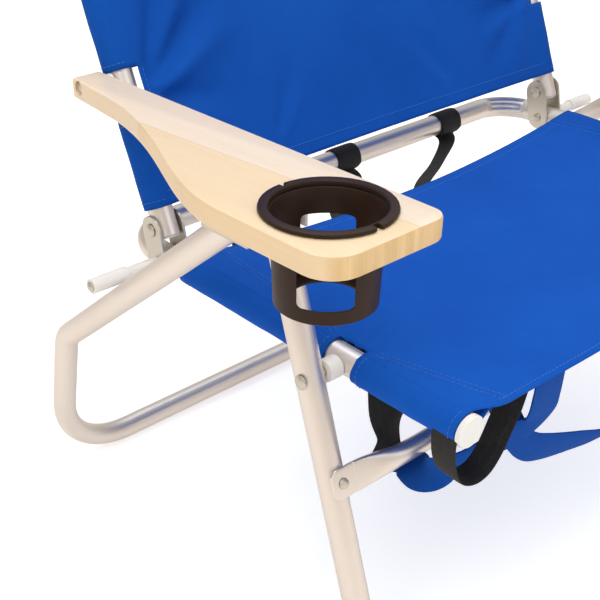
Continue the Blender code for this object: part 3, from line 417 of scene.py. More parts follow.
def piece(name, bm, material, body, nodes=(), crease=40.0):
    """Turn a finished mesh into a visible piece that rides on a body and may stand for CAD nodes."""
    mesh = bpy.data.meshes.new(name)
    bm.to_mesh(mesh)
    bm.free()
    mesh.shade_smooth()
    mesh.set_sharp_from_angle(angle=math.radians(crease))
    mesh.materials.append(material)
    item = add(name, mesh)
    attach(item, body)
    if nodes:
        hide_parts(*nodes)
    return item


def thicken(item):
    """Give a sheet the cloth's thickness, behind its outer face."""
    modifier = item.modifiers.new("thickness", "SOLIDIFY")
    modifier.thickness = CLOTH_T
    modifier.offset = -1.0
    modifier.use_even_offset = True


def spaced(low, high, count):
    """Stations from low to high in count equal steps."""
    return [low + (high - low) * i / count for i in range(count + 1)]


def graded(stops, counts):
    """Stations from stop to stop, each stretch in its own count of steps, without the last stop."""
    stretches = zip(stops, stops[1:], counts)
    return [station for a, b, count in stretches for station in spaced(a, b, count)[:-1]]


def fill(bm, grid, place=None, keep=None, closed=False, flip=False):
    """Faces between rows of vertices: place(row, column) gives the UV map, keep(row, column) what stays."""
    maps = bm.loops.layers.uv
    uv = (maps.get("UVMap") or maps.new("UVMap")) if place else None
    width = len(grid[0])
    for i in range(len(grid) - 1):
        for j in range(width if closed else width - 1):
            if keep and not keep(i, j):
                continue
            cells = [(i, j), (i, j + 1), (i + 1, j + 1), (i + 1, j)]
            if flip:
                cells.reverse()
            face = bm.faces.new([grid[row][column % width] for row, column in cells])
            for loop, cell in zip(face.loops, cells if place else ()):
                loop[uv].uv = place(*cell)


def cap(bm, rings):
    """Close both ends of a row of rings."""
    bm.faces.new(rings[0])
    bm.faces.new(rings[-1])


def rounded(corners, radii, step=math.radians(6)):
    """A path through corner points, with an arc of the given radius at each inner corner."""
    path = [corners[0]]
    for before, corner, after, radius in zip(corners, corners[1:], corners[2:], radii):
        to_before = (before - corner).normalized()
        to_after = (after - corner).normalized()
        turn = math.pi - to_before.angle(to_after)
        inset = radius * math.tan(turn / 2)
        start = corner + to_before * inset
        axis = to_before.cross(to_after).normalized()
        centre = start + to_before.cross(axis).normalized() * radius
        if (centre - corner).dot(to_after) < 0:
            centre = start - to_before.cross(axis).normalized() * radius
        count = max(2, math.ceil(turn / step))
        for i in range(count + 1):
            path.append(centre + Matrix.Rotation(-turn * i / count, 3, axis) @ (start - centre))
    path.append(corners[-1])
    return path


def tube_mesh(path, radius, across, sides=36, wall=TUBE_WALL, dent=None):
    """A hollow tube along a path, with a UV map that holds length and girth in metres."""
    bm = bmesh.new()
    length = 0.0
    walls = ([], [])
    lengths = []
    for i, point in enumerate(path):
        back = (point - path[i - 1]) if i else None
        ahead = (path[i + 1] - point) if i < len(path) - 1 else None
        length += back.length if back else 0.0
        lengths.append(length)
        along = ((back or ahead).normalized() + (ahead or back).normalized()).normalized()
        across = (across - along * across.dot(along)).normalized()
        other = along.cross(across)
        for rings, size in zip(walls, (radius, radius - wall)):
            ring = []
            for k in range(sides):
                angle = 2 * math.pi * k / sides
                spoke = across * math.cos(angle) + other * math.sin(angle)
                depth = dent(point, spoke) if dent else 0.0
                ring.append(bm.verts.new(point + spoke * (size - depth)))
            rings.append(ring)
    for rings, flip in zip(walls, (False, True)):
        fill(bm, rings, lambda r, k: (lengths[r], 2 * math.pi * radius * k / sides), closed=True, flip=flip)
    for end in (0, -1):
        for k in range(sides):
            j = (k + 1) % sides
            bm.faces.new((walls[0][end][k], walls[0][end][j], walls[1][end][j], walls[1][end][k]))
    bmesh.ops.recalc_face_normals(bm, faces=bm.faces)
    return bm


def subdivided(path, step=0.02):
    """The same path with points added on long straight stretches."""
    result = [path[0]]
    for a, b in zip(path, path[1:]):
        count = max(1, round((b - a).length / step))
        result += [a.lerp(b, i / count) for i in range(1, count + 1)]
    return result


def sheet(rows, keep=None):
    """A sheet from rows of points, with a UV map in metres; keep(i, j) says which cells stay."""
    bm = bmesh.new()
    verts = [[bm.verts.new(p) for p in row] for row in rows]
    middle = rows[len(rows) // 2]
    across = [0.0]
    for a, b in zip(middle, middle[1:]):
        across.append(across[-1] + (b - a).length)
    along = [0.0]
    half = len(rows[0]) // 2
    for a, b in zip(rows, rows[1:]):
        along.append(along[-1] + (b[half] - a[half]).length)
    fill(bm, verts, lambda r, c: (along[r], across[c]), keep)
    bmesh.ops.delete(bm, geom=[v for v in bm.verts if not v.link_faces], context="VERTS")
    return bm


def curve_points(stations, steps=10):
    """A smooth Catmull-Rom curve through tuples of equal length."""
    result = []
    padded = [stations[0]] + list(stations) + [stations[-1]]
    for a, b, c, d in zip(padded, padded[1:], padded[2:], padded[3:]):
        for i in range(steps):
            t = i / steps
            row = []
            for p, q, r, s in zip(a, b, c, d):
                row.append(0.5 * (2 * q + (r - p) * t + (2 * p - 5 * q + 4 * r - s) * t * t
                                  + (3 * q - p - 3 * r + s) * t ** 3))
            result.append(tuple(row))
    result.append(tuple(stations[-1]))
    return result


def ribbon(stations, thickness, columns=6, crown=0.0, steps=10):
    """A closed strap. A station is centre x, y, z, width direction x, y, z and width."""
    rows = []
    for x, y, z, wx, wy, wz, width in curve_points(stations, steps):
        centre = at(x, y, z)
        wide = Vector((wx, wy, wz)).normalized()
        rows.append((centre, wide, width))
    bm = bmesh.new()
    rings = []
    lengths = [0.0]
    for i, (centre, wide, width) in enumerate(rows):
        back = centre - rows[i - 1][0] if i else rows[1][0] - centre
        ahead = rows[i + 1][0] - centre if i < len(rows) - 1 else back
        if i:
            lengths.append(lengths[-1] + back.length)
        along = (back.normalized() + ahead.normalized()).normalized()
        wide = (wide - along * wide.dot(along)).normalized()
        normal = along.cross(wide)
        ring = []
        for side in (1, -1):
            for k in range(columns + 1):
                t = (k / columns * 2 - 1) * side
                rise = thickness / 2 * (1 - 0.55 * t ** 8) + crown * (1 - t * t)
                ring.append(bm.verts.new(centre + wide * (t * width / 2) + normal * (rise * side)))
        rings.append(ring)
    fill(bm, rings, lambda r, c: (lengths[r], rows[r][2] * (c % (columns + 1)) / columns), closed=True)
    cap(bm, rings)
    bmesh.ops.recalc_face_normals(bm, faces=bm.faces)
    return bm


def stitches(lines, length=STITCH, space=STITCH_GAP, radius=THREAD_R):
    """Short sunk threads along lines; a line is a list of (point, normal) pairs."""
    bm = bmesh.new()
    for line in lines:
        travelled = 0.0
        nodes = [0.0]
        for (a, _), (b, _) in zip(line, line[1:]):
            nodes.append(nodes[-1] + (b - a).length)

        def place(s):
            for i in range(len(nodes) - 1):
                if s <= nodes[i + 1]:
                    t = (s - nodes[i]) / max(1e-9, nodes[i + 1] - nodes[i])
                    (point, normal), (next_point, next_normal) = line[i], line[i + 1]
                    return point.lerp(next_point, t), normal.lerp(next_normal, t).normalized()
            return line[-1]

        while travelled + length < nodes[-1]:
            rings = []
            for t, rise, size in STITCH_SHAPE:
                point, normal = place(travelled + t * length)
                ahead, _ = place(min(nodes[-1], travelled + t * length + 0.0003))
                before, _ = place(max(0.0, travelled + t * length - 0.0003))
                along = (ahead - before).normalized()
                side = along.cross(normal).normalized()
                ring = []
                for k in range(6):
                    angle = math.pi * k / 3
                    spoke = normal * math.sin(angle) + side * math.cos(angle)
                    ring.append(bm.verts.new(point + normal * rise * radius + spoke * radius * size))
                rings.append(ring)
            fill(bm, rings, closed=True)
            cap(bm, rings)
            travelled += length + space
    bmesh.ops.recalc_face_normals(bm, faces=bm.faces)
    return bm


# ---------------------------------------------------------------- tubes

def seat_dent(point, spoke):
    """The pressed hollow on the upper inner side of each rear corner of the seat's tube."""
    depth = 0.0
    for side in SIDES.values():
        hub = at(REAR_BAR + SEAT_CORNER_R, side * (RAIL_Y - SEAT_CORNER_R), 0)
        back = hub.x - point.x
        out = (point.y - hub.y) * side
        if back > 0 and out > 0:
            along = (math.atan2(out, back) - math.pi / 4) * SEAT_CORNER_R
        else:
            along = max(-back, -out) + math.pi / 4 * SEAT_CORNER_R
        near = 1 - smoothstep((abs(along) - DENT_HALF) / DENT_EDGE)
        inward = (hub - point).normalized()
        facing = spoke.dot((inward * 0.70 + UP * 0.70).normalized())
        depth = max(depth, DENT_DEPTH * near * smoothstep((facing - 0.70) / 0.16))
    return depth


def make_tubes():
    """The bent tubes of the seat, the back, the rear frame and the front legs, and the legs' brace."""
    corners = [at(RAIL_FRONT, -RAIL_Y, 0), at(REAR_BAR, -RAIL_Y, 0),
               at(REAR_BAR, RAIL_Y, 0), at(RAIL_FRONT, RAIL_Y, 0)]
    path = subdivided(rounded(corners, [SEAT_CORNER_R] * 2, math.radians(3)), 0.008)
    mesh = tube_mesh(path, TUBE_R, UP, dent=seat_dent)
    piece("seat_tube", mesh, TUBE_METAL, "seat", ["seat_frame"])

    corners = [back_point(-BACK_END, -RAIL_Y), back_point(BACK_HEIGHT, -RAIL_Y),
               back_point(BACK_HEIGHT, RAIL_Y), back_point(-BACK_END, RAIL_Y)]
    mesh = tube_mesh(subdivided(rounded(corners, [BACK_CORNER_R] * 2)), TUBE_R, BACK_FRONT)
    piece("back_tube", mesh, TUBE_METAL, "back", ["back_frame"])

    half = []
    for side in (-1, 1):
        top = LEG_TOP + SIDEWAYS * side * REAR_Y
        knee = top + REAR_DOWN * REAR_KNEE
        foot = at(REAR_FOOT_X, side * REAR_Y, TUBE_R - PIVOT.z)
        half.append([top - REAR_DOWN * REAR_OVER, knee, foot])
    corners = half[0] + half[1][::-1]
    radii = [REAR_KNEE_R, REAR_CORNER_R, REAR_CORNER_R, REAR_KNEE_R]
    mesh = tube_mesh(subdivided(rounded(corners, radii)), TUBE_R, SIDEWAYS)
    piece("rear_leg_tube", mesh, TUBE_METAL, "rear_frame", ["rear_leg_frame"])

    for name, side in SIDES.items():
        low = (leg_point(0, 0).z - 0.006) / math.cos(LEG_LEAN)
        path = subdivided([leg_point(-LEG_OVER, side * LEG_Y), leg_point(low, side * LEG_Y)])
        mesh = tube_mesh(path, TUBE_R, SIDEWAYS)
        piece("front_leg_tube_" + name, mesh, TUBE_METAL, "front_legs",
              ["front_leg_" + name])
    make_brace()


def brace_ring(inward):
    """Half depth, half height, place in front of the leg and flatness of the brace, inward from its end."""
    ease = smoothstep((inward - BRACE_END) / BRACE_EASE)
    depth = BRACE_FLAT / 2 + (BRACE_R - BRACE_FLAT / 2) * ease
    height = BRACE_R * (BRACE_TALL - (BRACE_TALL - 1) * ease)
    height *= 0.70 + 0.30 * math.sqrt(smoothstep(inward / BRACE_CORNER))
    forward = TUBE_R + GAP + BRACE_FLAT / 2 + (BRACE_R - BRACE_FLAT / 2) * ease
    crease = BRACE_CREASE * smoothstep((inward - BRACE_END) / 0.0008) * (1 - ease)
    return depth + crease / 2, height, forward + crease / 2, 1 - ease


def make_brace():
    """Cross tube whose ends are pressed flat, with a crease where the round part begins."""
    reach = LEG_Y + TUBE_R - BRACE_INSET
    sides = 40
    count = 150
    bm = bmesh.new()
    rings = []
    stations = [-reach * math.cos(math.pi * i / count) for i in range(count + 1)]
    for side in SIDES.values():
        stations += [side * (reach - BRACE_END - 0.0005 * k) for k in range(-1, 8)]
    stations.sort()
    for y in stations:
        depth, height, forward, flat = brace_ring(reach - abs(y))
        ring = []
        for k in range(sides):
            angle = 2 * math.pi * (k + 0.5) / sides
            across = math.copysign(abs(math.cos(angle)) ** (1 - 0.8 * flat), math.cos(angle))
            point = leg_point(BRACE_DOWN - height * math.sin(angle), y, forward + depth * across)
            ring.append(bm.verts.new(point))
        rings.append(ring)
    fill(bm, rings, lambda r, k: (stations[r], 2 * math.pi * BRACE_R * k / sides), closed=True)
    cap(bm, rings)
    bmesh.ops.recalc_face_normals(bm, faces=bm.faces)
    piece("brace_tube", bm, TUBE_METAL, "front_legs", ["leg_brace"], 50)


# ---------------------------------------------------------------- seat sling

def belly(y, half):
    """How far a sling hangs at y, as a share of its middle: steep beside the rails, flat in the middle."""
    t = 1 - min(1.0, abs(y) / half)
    eased = math.sqrt(t * t + 0.0009) - 0.03
    return 1 - (1 - eased / (math.sqrt(1.0009) - 0.03)) ** 2.2


def seat_sag(x):
    """How deep the middle of the seat hangs at x."""
    t = (SEAT_HEM - x) / (SEAT_HEM - SEAT_REAR)
    return SEAT_SAG_FRONT + (SEAT_SAG_REAR - SEAT_SAG_FRONT) * max(0.0, t) ** 1.3


def seam_inset(x):
    """How far inside the rail's centre line the sleeve is sewn down: close beside the cut-outs."""
    edge = CUTOUT[1] if x > 0 else CUTOUT[0]
    end = SLEEVE_FRONT if x > 0 else SEAT_REAR
    return SEAM_NEAR + (SEAM_WIDE - SEAM_NEAR) * min(1.0, max(0.0, (x - edge) / (end - edge)))


def seat_height(x, y):
    """Upper face of the seat's fabric: the sling between the rails and the rounded sleeve over them."""
    over = abs(y) - RAIL_Y
    if over > 0:
        return math.sqrt(max(1e-8, SLEEVE_R ** 2 - over ** 2))
    z = SLEEVE_R - seat_sag(x) * belly(y, RAIL_Y)
    inside = -over - seam_inset(x)
    z += 0.0007 * (1 - smoothstep((inside + 0.001) / 0.004))
    ripple = noise.noise(Vector((x * 9, y * 7, 3.1))) * 0.0011 * smoothstep(-over / 0.05)
    gather = math.exp(-((x - 0.002) / 0.035) ** 2 - ((-over - 0.018) / 0.022) ** 2)
    pinch = math.exp(-((x - 0.002) / 0.018) ** 2 - ((-over - CUTOUT_IN) / 0.006) ** 2)
    z += ripple + 0.0011 * gather * math.sin(x * 520 + y * 160) + 0.0009 * pinch * math.sin(x * 1150)
    return z


def seat_edge(y):
    """The front hem stands a little ahead of the sleeves' ends."""
    inside = RAIL_Y - abs(y)
    return SLEEVE_FRONT + (SEAT_HEM - SLEEVE_FRONT) * smoothstep((inside - 0.004) / 0.026)


def sleeve_point(x, side, angle):
    """A point of the sleeve: angle 0 on top, 90 outboard, 180 below, in degrees."""
    a = math.radians(angle)
    pucker = noise.noise(Vector((x * 60, angle * 0.02, side * 5.0))) * 0.00035
    for edge in CUTOUT:
        pucker += 0.0006 * math.exp(-abs(x - edge) / 0.006) * math.sin(angle * 0.35 + edge * 900)
    r = SLEEVE_R + pucker * smoothstep(angle / 30)
    return at(x, side * (RAIL_Y + r * math.sin(a)), r * math.cos(a))


def seat_row(x, fractions):
    """One line of the seat's fabric, from the right sleeve's seam round both rails to the left seam."""
    row = []
    for kind, value in fractions:
        if kind == "panel":
            y = value
            front = seat_edge(y)
            px = SEAT_REAR + (x - SEAT_REAR) * (front - SEAT_REAR) / (SEAT_HEM - SEAT_REAR)
            row.append(at(px, y, seat_height(px, y)))
            continue
        side, angle = value
        px = SEAT_REAR + (x - SEAT_REAR) * (SLEEVE_FRONT - SEAT_REAR) / (SEAT_HEM - SEAT_REAR)
        inset = seam_inset(px)
        if kind == "sleeve":
            row.append(sleeve_point(px, side, angle))
            continue
        last = sleeve_point(px, side, 225 + 110 * (1 - inset / SEAM_WIDE))
        seam_y = side * (RAIL_Y - inset)
        seam = at(px, seam_y, seat_height(px, seam_y) - SEAM_UNDER)
        row.append(last.lerp(seam, angle))
    return row


def seat_columns():
    """The stations across the seat, the same for each row."""
    sleeve_angles = [4, 10, 20, 32, 45, 60, 75, 90, 105, 120, 135, 150, 165, 180, 195, 210]
    flap = [0.0, 0.33, 0.66, 1.0]
    panel = [0.0, 0.0022, CUTOUT_IN]
    inner = RAIL_Y - CUTOUT_IN
    ys = [-(RAIL_Y - p) for p in panel]
    ys += spaced(-inner, inner, 84)[1:-1]
    ys += [RAIL_Y - p for p in reversed(panel)]
    columns = [("flap", (-1, t)) for t in reversed(flap)]
    columns += [("sleeve", (-1, a)) for a in reversed(sleeve_angles)]
    columns += [("panel", y) for y in ys]
    columns += [("sleeve", (1, a)) for a in sleeve_angles]
    columns += [("flap", (1, t)) for t in flap]
    return columns


def make_seat_sling():
    """The seat's cloth: one sheet round both rails, with a cut-out at each leg pivot."""
    scale = (SEAT_HEM - SEAT_REAR) / (SLEEVE_FRONT - SEAT_REAR)
    cuts = [SEAT_REAR + (c - SEAT_REAR) * scale for c in CUTOUT]
    stops = [SEAT_REAR, cuts[0], cuts[1], SEAT_HEM]
    counts = [48, 14, 32]
    columns = seat_columns()
    rows = [seat_row(x, columns) for x in graded(stops, counts) + [SEAT_HEM]]
    first, last = counts[0], counts[0] + counts[1]

    def keep(i, j):
        outer = any(kind != "panel" or abs(value) > RAIL_Y - CUTOUT_IN + 1e-6
                    for kind, value in (columns[j], columns[j + 1]))
        return not (first <= i < last and outer)

    bm = sheet(rows, keep)
    bmesh.ops.recalc_face_normals(bm, faces=bm.faces)
    middle = min(bm.faces, key=lambda f: (f.calc_center_median() - at(0, 0, 0)).length)
    if middle.normal.z < 0:
        bmesh.ops.reverse_faces(bm, faces=bm.faces)
    item = piece("seat_sling", bm, CANVAS, "seat", ["seat_fabric"], 70)
    thicken(item)
    make_seat_hems()


def seat_surface(x, y):
    """Point and upward normal of the seat's upper face."""
    step = 0.0015
    point = at(x, y, seat_height(x, y))
    ahead = at(x + step, y, seat_height(x + step, y)) - point
    across = at(x, y + step, seat_height(x, y + step)) - point
    return point, ahead.cross(across).normalized()


def make_seat_hems():
    """Stitches of the front and rear hems, of the double side seams and round the sleeves' ends."""
    inner = RAIL_Y - SEAM_WIDE - 0.002
    across = spaced(-inner, inner, 70)
    lines = [[seat_surface(seat_edge(y) - FRONT_HEM_IN, y) for y in across]]
    lines.append([seat_surface(SEAT_REAR + HEM_IN, y) for y in across])
    runs = ((CUTOUT[1] + 0.007, SEAT_HEM - 0.004), (SEAT_REAR + 0.003, CUTOUT[0] - 0.007))
    ends = (SLEEVE_FRONT - 0.0050, CUTOUT[1] + 0.0055, CUTOUT[0] - 0.0055, SEAT_REAR + 0.006)
    for side in SIDES.values():
        for extra in (0.0, SEAM_PAIR):
            for start, end in runs:
                lines.append([seat_surface(x, side * (RAIL_Y - seam_inset(x) - extra))
                              for x in spaced(start, end, 30)])
        for x in ends:
            line = []
            for i in range(25):
                point = sleeve_point(x, side, 2 + 200 * i / 24)
                line.append((point, (point - at(x, side * RAIL_Y, 0)).normalized()))
            lines.append(line)
    piece("seat_stitches", stitches(lines), THREAD, "seat")


# ---------------------------------------------------------------- back sling

SLEEVE_PITCH = 0.004
SLEEVE_ANGLES = (12, 26, 42, 60, 78, 96, 114, 132, 150, 168, 180, 193, 206, 218, 229)
FOLDS = (  # start and end, each as distance from the middle and height up the back; depth; half width
    ((0.250, 0.116), (0.162, 0.180), 0.0100, 0.014),
    ((0.250, 0.124), (0.190, 0.240), 0.0078, 0.013),
    ((0.252, 0.110), (0.170, 0.090), 0.0058, 0.011),
    ((0.240, 0.104), (0.185, 0.040), 0.0040, 0.012),
    ((0.120, 0.045), (0.085, 0.105), 0.0022, 0.010),
    ((0.210, 0.300), (0.120, 0.420), 0.0030, 0.030),
    ((0.225, 0.520), (0.130, 0.420), 0.0040, 0.022),
)


def fold_depth(y, along):
    """Creases that start at the arm notches, and softer ones higher up."""
    depth = 0.0
    for (y0, s0), (y1, s1), size, wide in FOLDS:
        for side in SIDES.values():
            a = Vector((side * y0, s0))
            b = Vector((side * y1, s1))
            run = b - a
            t = (Vector((y, along)) - a).dot(run) / run.length_squared
            off = (Vector((y, along)) - a).dot(Vector((-run.y, run.x)).normalized()) * side
            fade = smoothstep((t + 0.06) / 0.16) * (1 - smoothstep((t - 0.45) / 0.75))
            spread_out = wide * (0.45 + 0.9 * max(0.0, t))
            depth += size * fade * (math.exp(-(off / spread_out) ** 2)
                                    - 0.55 * math.exp(-((off - 1.7 * spread_out) / spread_out) ** 2))
    return depth


def back_half(along):
    """Half width of the back between its tube's centre lines; it follows the round top corners."""
    over = along - (BACK_HEIGHT - BACK_CORNER_R)
    if over <= 0:
        return RAIL_Y
    return RAIL_Y - BACK_CORNER_R + math.sqrt(max(0.0, BACK_CORNER_R ** 2 - min(over, BACK_CORNER_R) ** 2))


def back_forward(y, along):
    """How far the back's cloth lies in front of its tube's axis."""
    half = back_half(along)
    top = smoothstep((BACK_HEIGHT - along) / 0.16)
    hang = BACK_SAG * (0.75 + 0.25 * (1 - along / BACK_HEIGHT)) * belly(y, half) * top
    inside = smoothstep((half - abs(y)) / 0.02) * smoothstep((BACK_HEIGHT - along) / 0.03)
    ripple = noise.noise(Vector((y * 8, along * 6, 7.7))) * 0.0035
    ripple += noise.noise(Vector((y * 22, along * 17, 1.3))) * 0.0009
    return BACK_SLEEVE_R - hang + (ripple - fold_depth(y, along)) * inside


def back_surface(y, along):
    """Point and forward normal of the back's front face."""
    step = 0.0015
    point = back_point(along, y, back_forward(y, along))
    up = back_point(along + step, y, back_forward(y, along + step)) - point
    across = back_point(along, y + step, back_forward(y + step, along)) - point
    return point, across.cross(up).normalized()


def back_rows():
    """Heights of the rows: even up the sides, then by angle round the corners."""
    corner = BACK_HEIGHT - BACK_CORNER_R
    stops = [BACK_START, NOTCH[0], NOTCH[1], corner]
    counts = [22, 12, 90]
    rows = graded(stops, counts)
    steps = 24
    rows += [corner + BACK_CORNER_R * math.sin(math.pi / 2 * i / steps) for i in range(steps + 1)]
    return rows, counts[0], counts[0] + counts[1]


def back_panel(bm, heights, notch_rows):
    """The flat of the back, left open at the arm notches; returns its rows of vertices."""
    edge = NOTCH_IN / RAIL_Y
    fractions = [-1.0, -1.0 + edge / 2, *spaced(-1.0 + edge, 1.0 - edge, 110), 1.0 - edge / 2, 1.0]
    grid = []
    for along in heights:
        half = back_half(along)
        row = [back_point(along, half * f, back_forward(half * f, along)) for f in fractions]
        grid.append([bm.verts.new(point) for point in row])

    def keep(i, j):
        return i not in notch_rows or 2 <= j < len(fractions) - 3

    fill(bm, grid, lambda r, c: (heights[r], fractions[c] * RAIL_Y), keep)
    return grid


def back_sleeve_line(bm, vert, before, centre, after, travelled):
    """Vertices from the back's rim round the tube behind it, then inwards to the sleeve's seam."""
    out = BACK_FRONT.cross((after - before).normalized()).normalized()
    if out.dot(centre - back_point(BACK_HEIGHT / 2, 0)) < 0:
        out = -out
    line = [vert]
    for angle in SLEEVE_ANGLES:
        a = math.radians(angle)
        pucker = noise.noise(Vector((travelled * 45, angle * 0.02, 9.0))) * 0.0004
        spoke = out * math.sin(a) + BACK_FRONT * math.cos(a)
        line.append(bm.verts.new(centre + spoke * (BACK_SLEEVE_R + pucker)))
    under = centre - out * FLAP - back_point(0, 0)
    height = under.dot(BACK_UP)
    seam = back_point(height, under.y, back_forward(under.y, height) - SEAM_UNDER)
    last = line[-1].co.copy()
    line += [bm.verts.new(last.lerp(seam, t)) for t in (0.35, 0.7, 1.0)]
    return line


def make_back_sling():
    """The back's cloth: a panel, and a sleeve that wraps the tube all the way round the rim."""
    heights, notch_low, notch_high = back_rows()
    bm = bmesh.new()
    grid = back_panel(bm, heights, range(notch_low, notch_high))
    rim = [(row[0], i) for i, row in enumerate(grid)]
    rim += [(vert, None) for vert in grid[-1][1:-1]]
    rim += [(row[-1], i) for i, row in reversed(list(enumerate(grid)))]
    centres = [vert.co - BACK_FRONT * BACK_SLEEVE_R for vert, _ in rim]
    travels = [0.0]
    lines = []
    for n, (vert, _) in enumerate(rim):
        before = centres[max(0, n - 1)]
        after = centres[min(len(centres) - 1, n + 1)]
        if n:
            travels.append(travels[-1] + (centres[n] - before).length)
        lines.append(back_sleeve_line(bm, vert, before, centres[n], after, travels[n]))

    def keep(n, _):
        ends = (rim[n][1], rim[n + 1][1])
        return None in ends or min(ends) < notch_low or max(ends) > notch_high

    fill(bm, lines, lambda n, k: (travels[n], k * SLEEVE_PITCH), keep)
    bmesh.ops.delete(bm, geom=[v for v in bm.verts if not v.link_faces], context="VERTS")
    bmesh.ops.recalc_face_normals(bm, faces=bm.faces)
    facing = [f for f in bm.faces if abs(f.normal.dot(BACK_FRONT)) > 0.9]
    front = [f for f in facing if abs(f.calc_center_median().y) < 0.1]
    if front and front[0].normal.dot(BACK_FRONT) < 0:
        bmesh.ops.reverse_faces(bm, faces=bm.faces)
    # The back's cloth takes the darker copy of the canvas, which is painted shade.
    item = piece("back_sling", bm, BACK_CANVAS_PAINTED_SHADE, "back", ["back_fabric"], 70)
    thicken(item)
    make_back_stitches()


def make_back_stitches():
    """Stitches of the lower hem, beside the notches and round the sleeves' ends."""
    lines = []
    inner = RAIL_Y - 0.004
    lines.append([back_surface(y, BACK_START + HEM_IN) for y in spaced(-inner, inner, 80)])
    for side in SIDES.values():
        y = side * (RAIL_Y - NOTCH_IN - 0.0050)
        lines.append([back_surface(y, s) for s in spaced(NOTCH[0] - 0.001, NOTCH[1] + 0.001, 12)])
        for along in (NOTCH[0] - 0.0050, NOTCH[1] + 0.0050, BACK_START + 0.0060):
            line = []
            for i in range(21):
                a = math.radians(2 + 170 * i / 20)
                spoke = SIDEWAYS * side * math.sin(a) + BACK_FRONT * math.cos(a)
                line.append((back_point(along, side * RAIL_Y) + spoke * (BACK_SLEEVE_R + 0.0001), spoke))
            lines.append(line)
    piece("back_stitches", stitches(lines), THREAD, "back")


# ---------------------------------------------------------------- straps

WEB_LOOP_R = TUBE_R + 0.0012
WEB_T = 0.0015
WEB_WIDE = 0.031
LOOP_X = 0.1075
LOOP_WIDE = 0.022
PAD_T = 0.0030
PAD_CROWN = 0.0006


def bar_loop(y, wide):
    """Stations of a strap that wraps the seat's rear bar, from its front over the top to below."""
    stations = []
    for angle in range(-50, 271, 32):
        a = math.radians(angle)
        r = WEB_LOOP_R + (0.0016 if angle < 0 else 0.0)
        squeeze = 1.0 - 0.12 * max(0.0, -math.sin(a))
        stations.append((REAR_BAR + r * math.cos(a), y, r * math.sin(a), 0, 1, 0, wide * squeeze))
    return stations


def make_webbing():
    """Black webbing: three straps from the rear bar to the front, and a loop at each front corner."""
    runs = {
        "webbing_left": (0.163, [
            (-0.262, 0.150, -0.0150, 0.45, 0.89, 0, 0.017),
            (-0.228, 0.094, -0.0150, 0.75, 0.66, 0, 0.0125),
            (-0.192, 0.029, -0.0150, 0.75, 0.66, 0, 0.0150),
            (-0.120, -0.030, -0.0125, 0.6, 0.8, 0, 0.024),
            (-0.020, -0.080, -0.0100, 0.4, 0.9, 0, 0.026),
            (0.060, -0.110, -0.0060, 0.2, 1, 0, 0.028),
            (0.100, -0.120, -0.0050, 0, 1, 0, 0.028),
        ]),
        "webbing_middle": (0.003, [
            (-0.262, 0.000, -0.0150, 0.3, 0.95, 0, 0.022),
            (-0.240, -0.028, -0.0160, 0.7, 0.7, 0, 0.018),
            (-0.215, -0.063, -0.0165, 0.7, 0.7, 0, 0.022),
            (-0.120, -0.115, -0.0150, 0.3, 0.95, 0, 0.026),
            (-0.030, -0.125, -0.0120, 0, 1, 0, 0.028),
            (0.060, -0.125, -0.0080, 0, 1, 0, 0.028),
            (0.100, -0.125, -0.0055, 0, 1, 0, 0.028),
        ]),
        "webbing_right": (-0.160, [
            (-0.262, -0.164, -0.0150, -0.3, 0.95, 0, 0.024),
            (-0.225, -0.182, -0.0140, -0.4, 0.9, 0, 0.020),
            (-0.180, -0.205, -0.0120, -0.4, 0.9, 0, 0.022),
            (-0.080, -0.226, -0.0120, -0.2, 0.95, 0, 0.028),
            (-0.020, -0.232, -0.0150, -0.1, 1, 0, 0.030),
            (0.008, -0.236, -0.0240, 0.1, 1, 0, 0.032),
            (0.020, -0.240, -0.0480, 0.25, 1, 0, 0.034),
            (0.021, -0.238, -0.0720, -0.1, 1, 0, 0.028),
            (0.024, -0.242, -0.0930, 0.3, 1, 0, 0.032),
        ]),
    }
    for name, (y, stations) in runs.items():
        mesh = ribbon(bar_loop(y, WEB_WIDE) + stations, WEB_T, steps=8)
        piece(name + "_strap", mesh, WEBBING, "seat", [name], 60)
    places = (
        (0.2790, 0.0040), (0.2805, -0.0110), (0.2770, -0.0300), (0.2680, -0.0465), (0.2520, -0.0555),
        (0.2365, -0.0550), (0.2250, -0.0440), (0.2155, -0.0260), (0.2085, -0.0110), (0.2040, 0.0045),
    )
    for name, side in SIDES.items():
        stations = [(LOOP_X, side * y, z, 1, 0, 0.08 * math.sin(y * 90), LOOP_WIDE) for y, z in places]
        piece("corner_loop_strap_" + name, ribbon(stations, WEB_T), WEBBING, "seat",
              ["corner_loop_" + name], 60)


